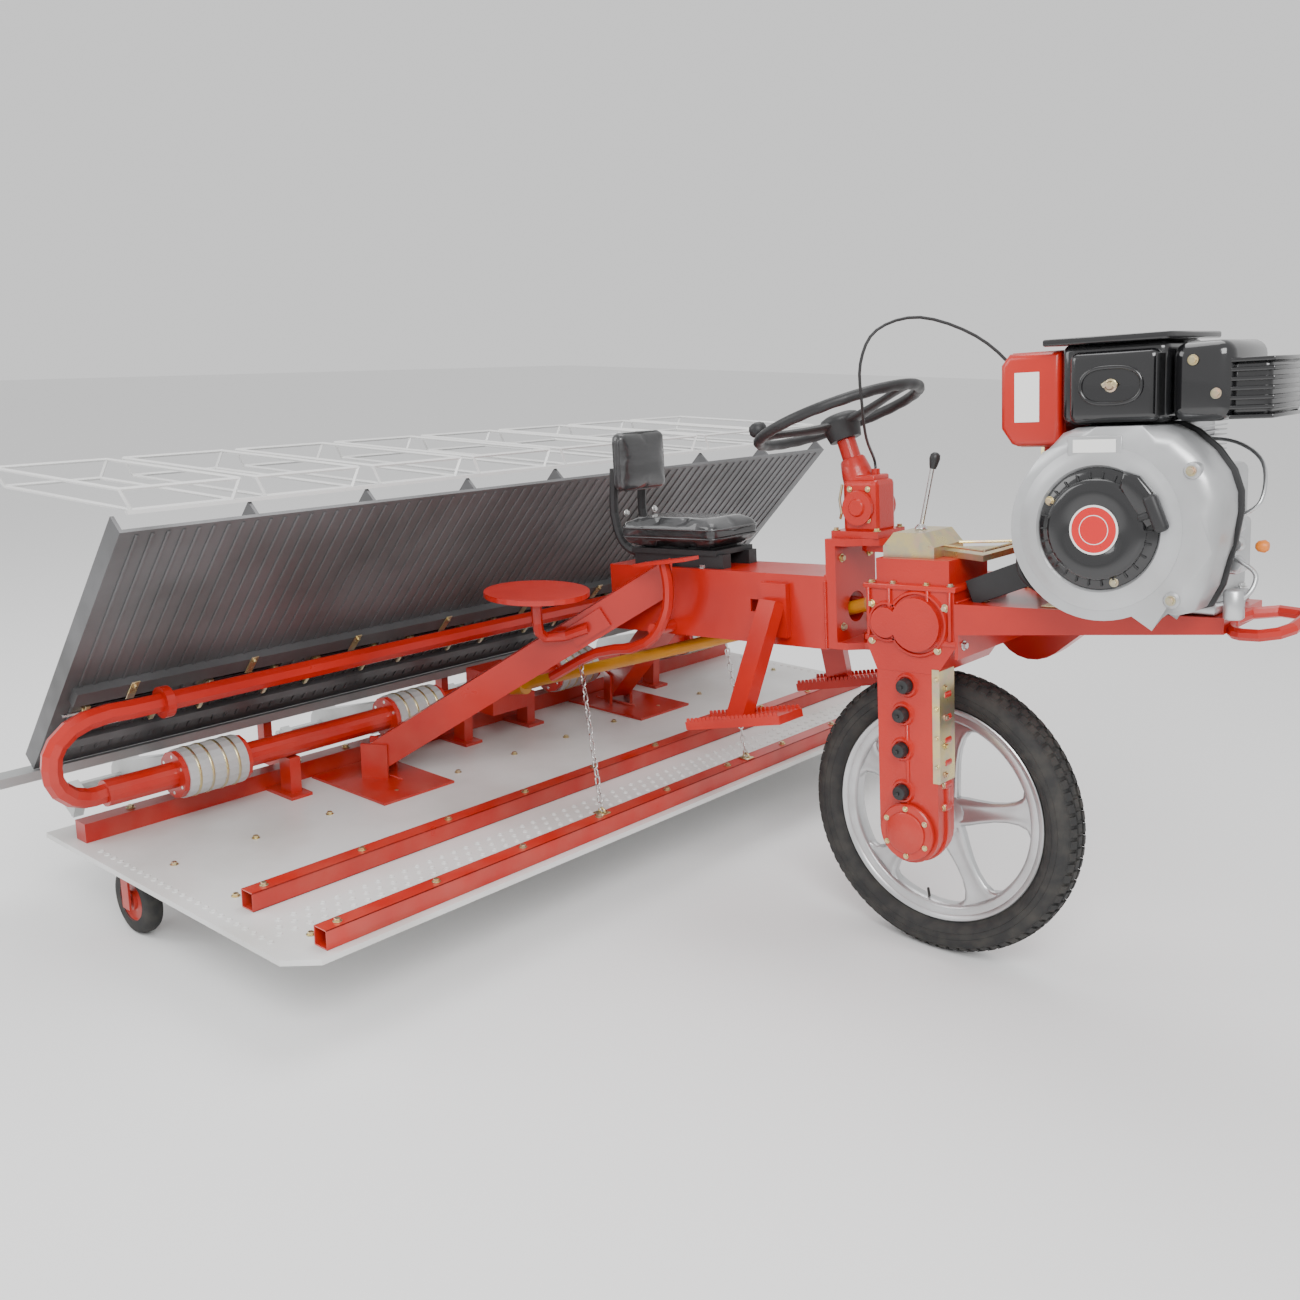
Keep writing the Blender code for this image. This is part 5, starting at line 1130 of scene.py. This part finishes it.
CASE_LINES = (-0.9, -0.3, 0.3, 0.9)
CASE_AXIS = (-1.42, 0.315)
flanges, covers, case_fixings = bmesh.new(), bmesh.new(), bmesh.new()
for y in CASE_LINES:
    for side in (-1, 1):
        face = LEVEL @ Matrix.Translation((CASE_AXIS[0], y + side * 0.075,
            CASE_AXIS[1])) @ Matrix.Rotation(radians(-90 * side), 4, "X")
        lathe(flanges, face, [(0.031, 0.007), (0.050, 0.007), (0.0535, 0.004), (0.0535, -0.001),
                              (0.031, -0.001)], 44)
        for k in range(6):
            turn = radians(60 * k + 30)
            bolt(case_fixings, face @ Matrix.Translation((0.043 * cos(turn), 0.043 * sin(turn), 0.007)),
                 0.0048, 0.004)
        for ring in (0.018, 0.050):
            lathe(covers, LEVEL @ Matrix.Translation((CASE_AXIS[0], y + side * ring, CASE_AXIS[1]))
                  @ Matrix.Rotation(radians(-90 * side), 4, "X"), [(0.050, 0.003), (0.0588, 0.003),
                (0.0594, 0.0022), (0.0594, -0.0022), (0.0588, -0.003), (0.050, -0.003)], 44)
piece("planting case flanges", flanges, red_enamel, "frame", "red_paint", angle=40)
piece("planting case bands", covers, zinc.material, "frame", "zinc_plate", angle=40)
piece("planting case bolts", case_fixings, bright.material, "frame", "zinc_plate")
beam_stud = bmesh.new()
bolt(beam_stud, Matrix.Identity(4), 0.0075, 0.006)
spread("base beam bolts", "frame", "zinc_plate", beam_stud, zinc.material, LEVEL, 15, (0, 0.15, 0),
       start=(-1.51, -1.05, 0.2303))


# ---- Seedling tray --------------------------------------------------------------------------------------
# A dark pressed sheet with eight columns. Its underside has lengthwise ribs and, low down, a black belt
# window with two zinc roller brackets for each column, and two bright rods run across all of them.

TRAY_SLOPE = 49.5
COLUMN = 0.30
TRAY = LEVEL @ Matrix.Translation((-1.3883, 0, 0.63345)) @ Matrix.Rotation(radians(-TRAY_SLOPE), 4, "Y")
rib = bmesh.new()
block(rib, Matrix.Identity(4), (0.740, 0.0080, 0.0040), 0.0018, 2)
spread("tray ribs", "tray_body", "tray_steel", rib, tray_steel.material, TRAY, 71, (0, COLUMN / 9, 0),
       start=(0.010, -35 * COLUMN / 9, -0.0050), angle=40)
belt = bmesh.new()
block(belt, Matrix.Identity(4), (0.085, 0.150, 0.0040), 0.0015, 2)
for k in range(5):
    block(belt, Matrix.Translation((-0.032 + 0.016 * k, 0, -0.0030)), (0.006, 0.148, 0.0030), 0.001)
spread("mat feed belts", "tray_body", "black_plastic", belt, matt_black.material, TRAY, 8, (0, COLUMN, 0),
       start=(-0.215, -3.5 * COLUMN, -0.0082))
holder = bmesh.new()
for side in (-1, 1):
    block(holder, Matrix.Translation((0, side * 0.088, 0)), (0.110, 0.012, 0.016), 0.002, 2)
    drum(holder, Matrix.Translation((0.040, side * 0.0955, 0)) @ side_out, 0.006, 0.006, 16)
spread("belt roller brackets", "tray_body", "zinc_plate", holder, zinc.material, TRAY, 8, (0, COLUMN, 0),
       start=(-0.215, -3.5 * COLUMN, -0.0120))
rods = bmesh.new()
for x in (-0.182, -0.248):
    rod(rods, [(x, -1.19, -0.0150), (x, 1.19, -0.0150)], 0.0040, 12, base=TRAY)
piece("tray rods", rods, bright.material, "tray_body", "chain_steel")
clip = bmesh.new()
block(clip, Matrix.Identity(4), (0.060, 0.020, 0.003), 0.001)
bolt(clip, Matrix.Translation((0.018, 0, -0.0015)) @ Matrix.Rotation(pi, 4, "X"), 0.005, 0.004)
spread("rail clips", "tray_body", "zinc_plate", clip, zinc.material, TRAY, 8, (0, COLUMN, 0),
       start=(-0.120, -3.5 * COLUMN, -0.0266))


# ---- Chains ---------------------------------------------------------------------------------------------
# Two welded link chains hold the board up: one from the lift lever and one from under the beam, both down to
# the front rail.

LINK_LENGTH, LINK_WIDTH, LINK_WIRE = 0.026, 0.0150, 0.0021


def link_chain(name, start, end, replaced):
    start, end = Vector(start), Vector(end)
    pitch = LINK_LENGTH - 2 * LINK_WIRE
    count = int((end - start).length / pitch)
    pitch = (end - start).length / count
    turn = Matrix.Translation(start) @ (end - start).to_track_quat("X", "Z").to_matrix().to_4x4()
    bend = LINK_WIDTH / 2 - LINK_WIRE
    straight = LINK_LENGTH / 2 - LINK_WIRE - bend
    loop = [((straight if cos(a) > 0 else -straight) + bend * cos(a), bend * sin(a), 0)
            for a in (2 * pi * (k + 0.5) / 16 for k in range(16))]
    whole = bmesh.new()
    for odd in (0, 1):
        link = bmesh.new()
        rod(link, loop, LINK_WIRE, 8, base=Matrix.Rotation(radians(90 * odd + 45), 4, "X"), closed=True)
        part = grid_of(f"{name} {odd}", link, bright.material, LEVEL @ turn, (count + 1 - odd) // 2,
                       (2 * pitch, 0, 0), start=((odd + 0.5) * pitch, 0, 0))
        whole.from_mesh(part)
    piece(name, whole, bright.material, "frame", "chain_steel", replaced, angle=60)


CHAIN_FOOT = BOARD_TOP + RAIL_SIZE
link_chain("lever chain", (-0.926, -0.158, 0.506), (-0.685, -0.340, CHAIN_FOOT + 0.004), "right_chain")
link_chain("beam chain", (-0.660, 0.070, 0.604), (-0.675, 0.200, CHAIN_FOOT + 0.004), "left_chain")
eyes = bmesh.new()
for x, y in ((-0.685, -0.340), (-0.675, 0.200)):
    block(eyes, at(x, y, CHAIN_FOOT + 0.0015, LEVEL), (0.030, 0.030, 0.003), 0.0008)
    rod(eyes, [(x + 0.009 * cos(a), y, CHAIN_FOOT + 0.004 + 0.009 * sin(a))
               for a in (pi * k / 8 for k in range(9))], 0.0026, 8, base=LEVEL)
piece("chain eyes", eyes, zinc.material, "frame", "zinc_plate", angle=60)
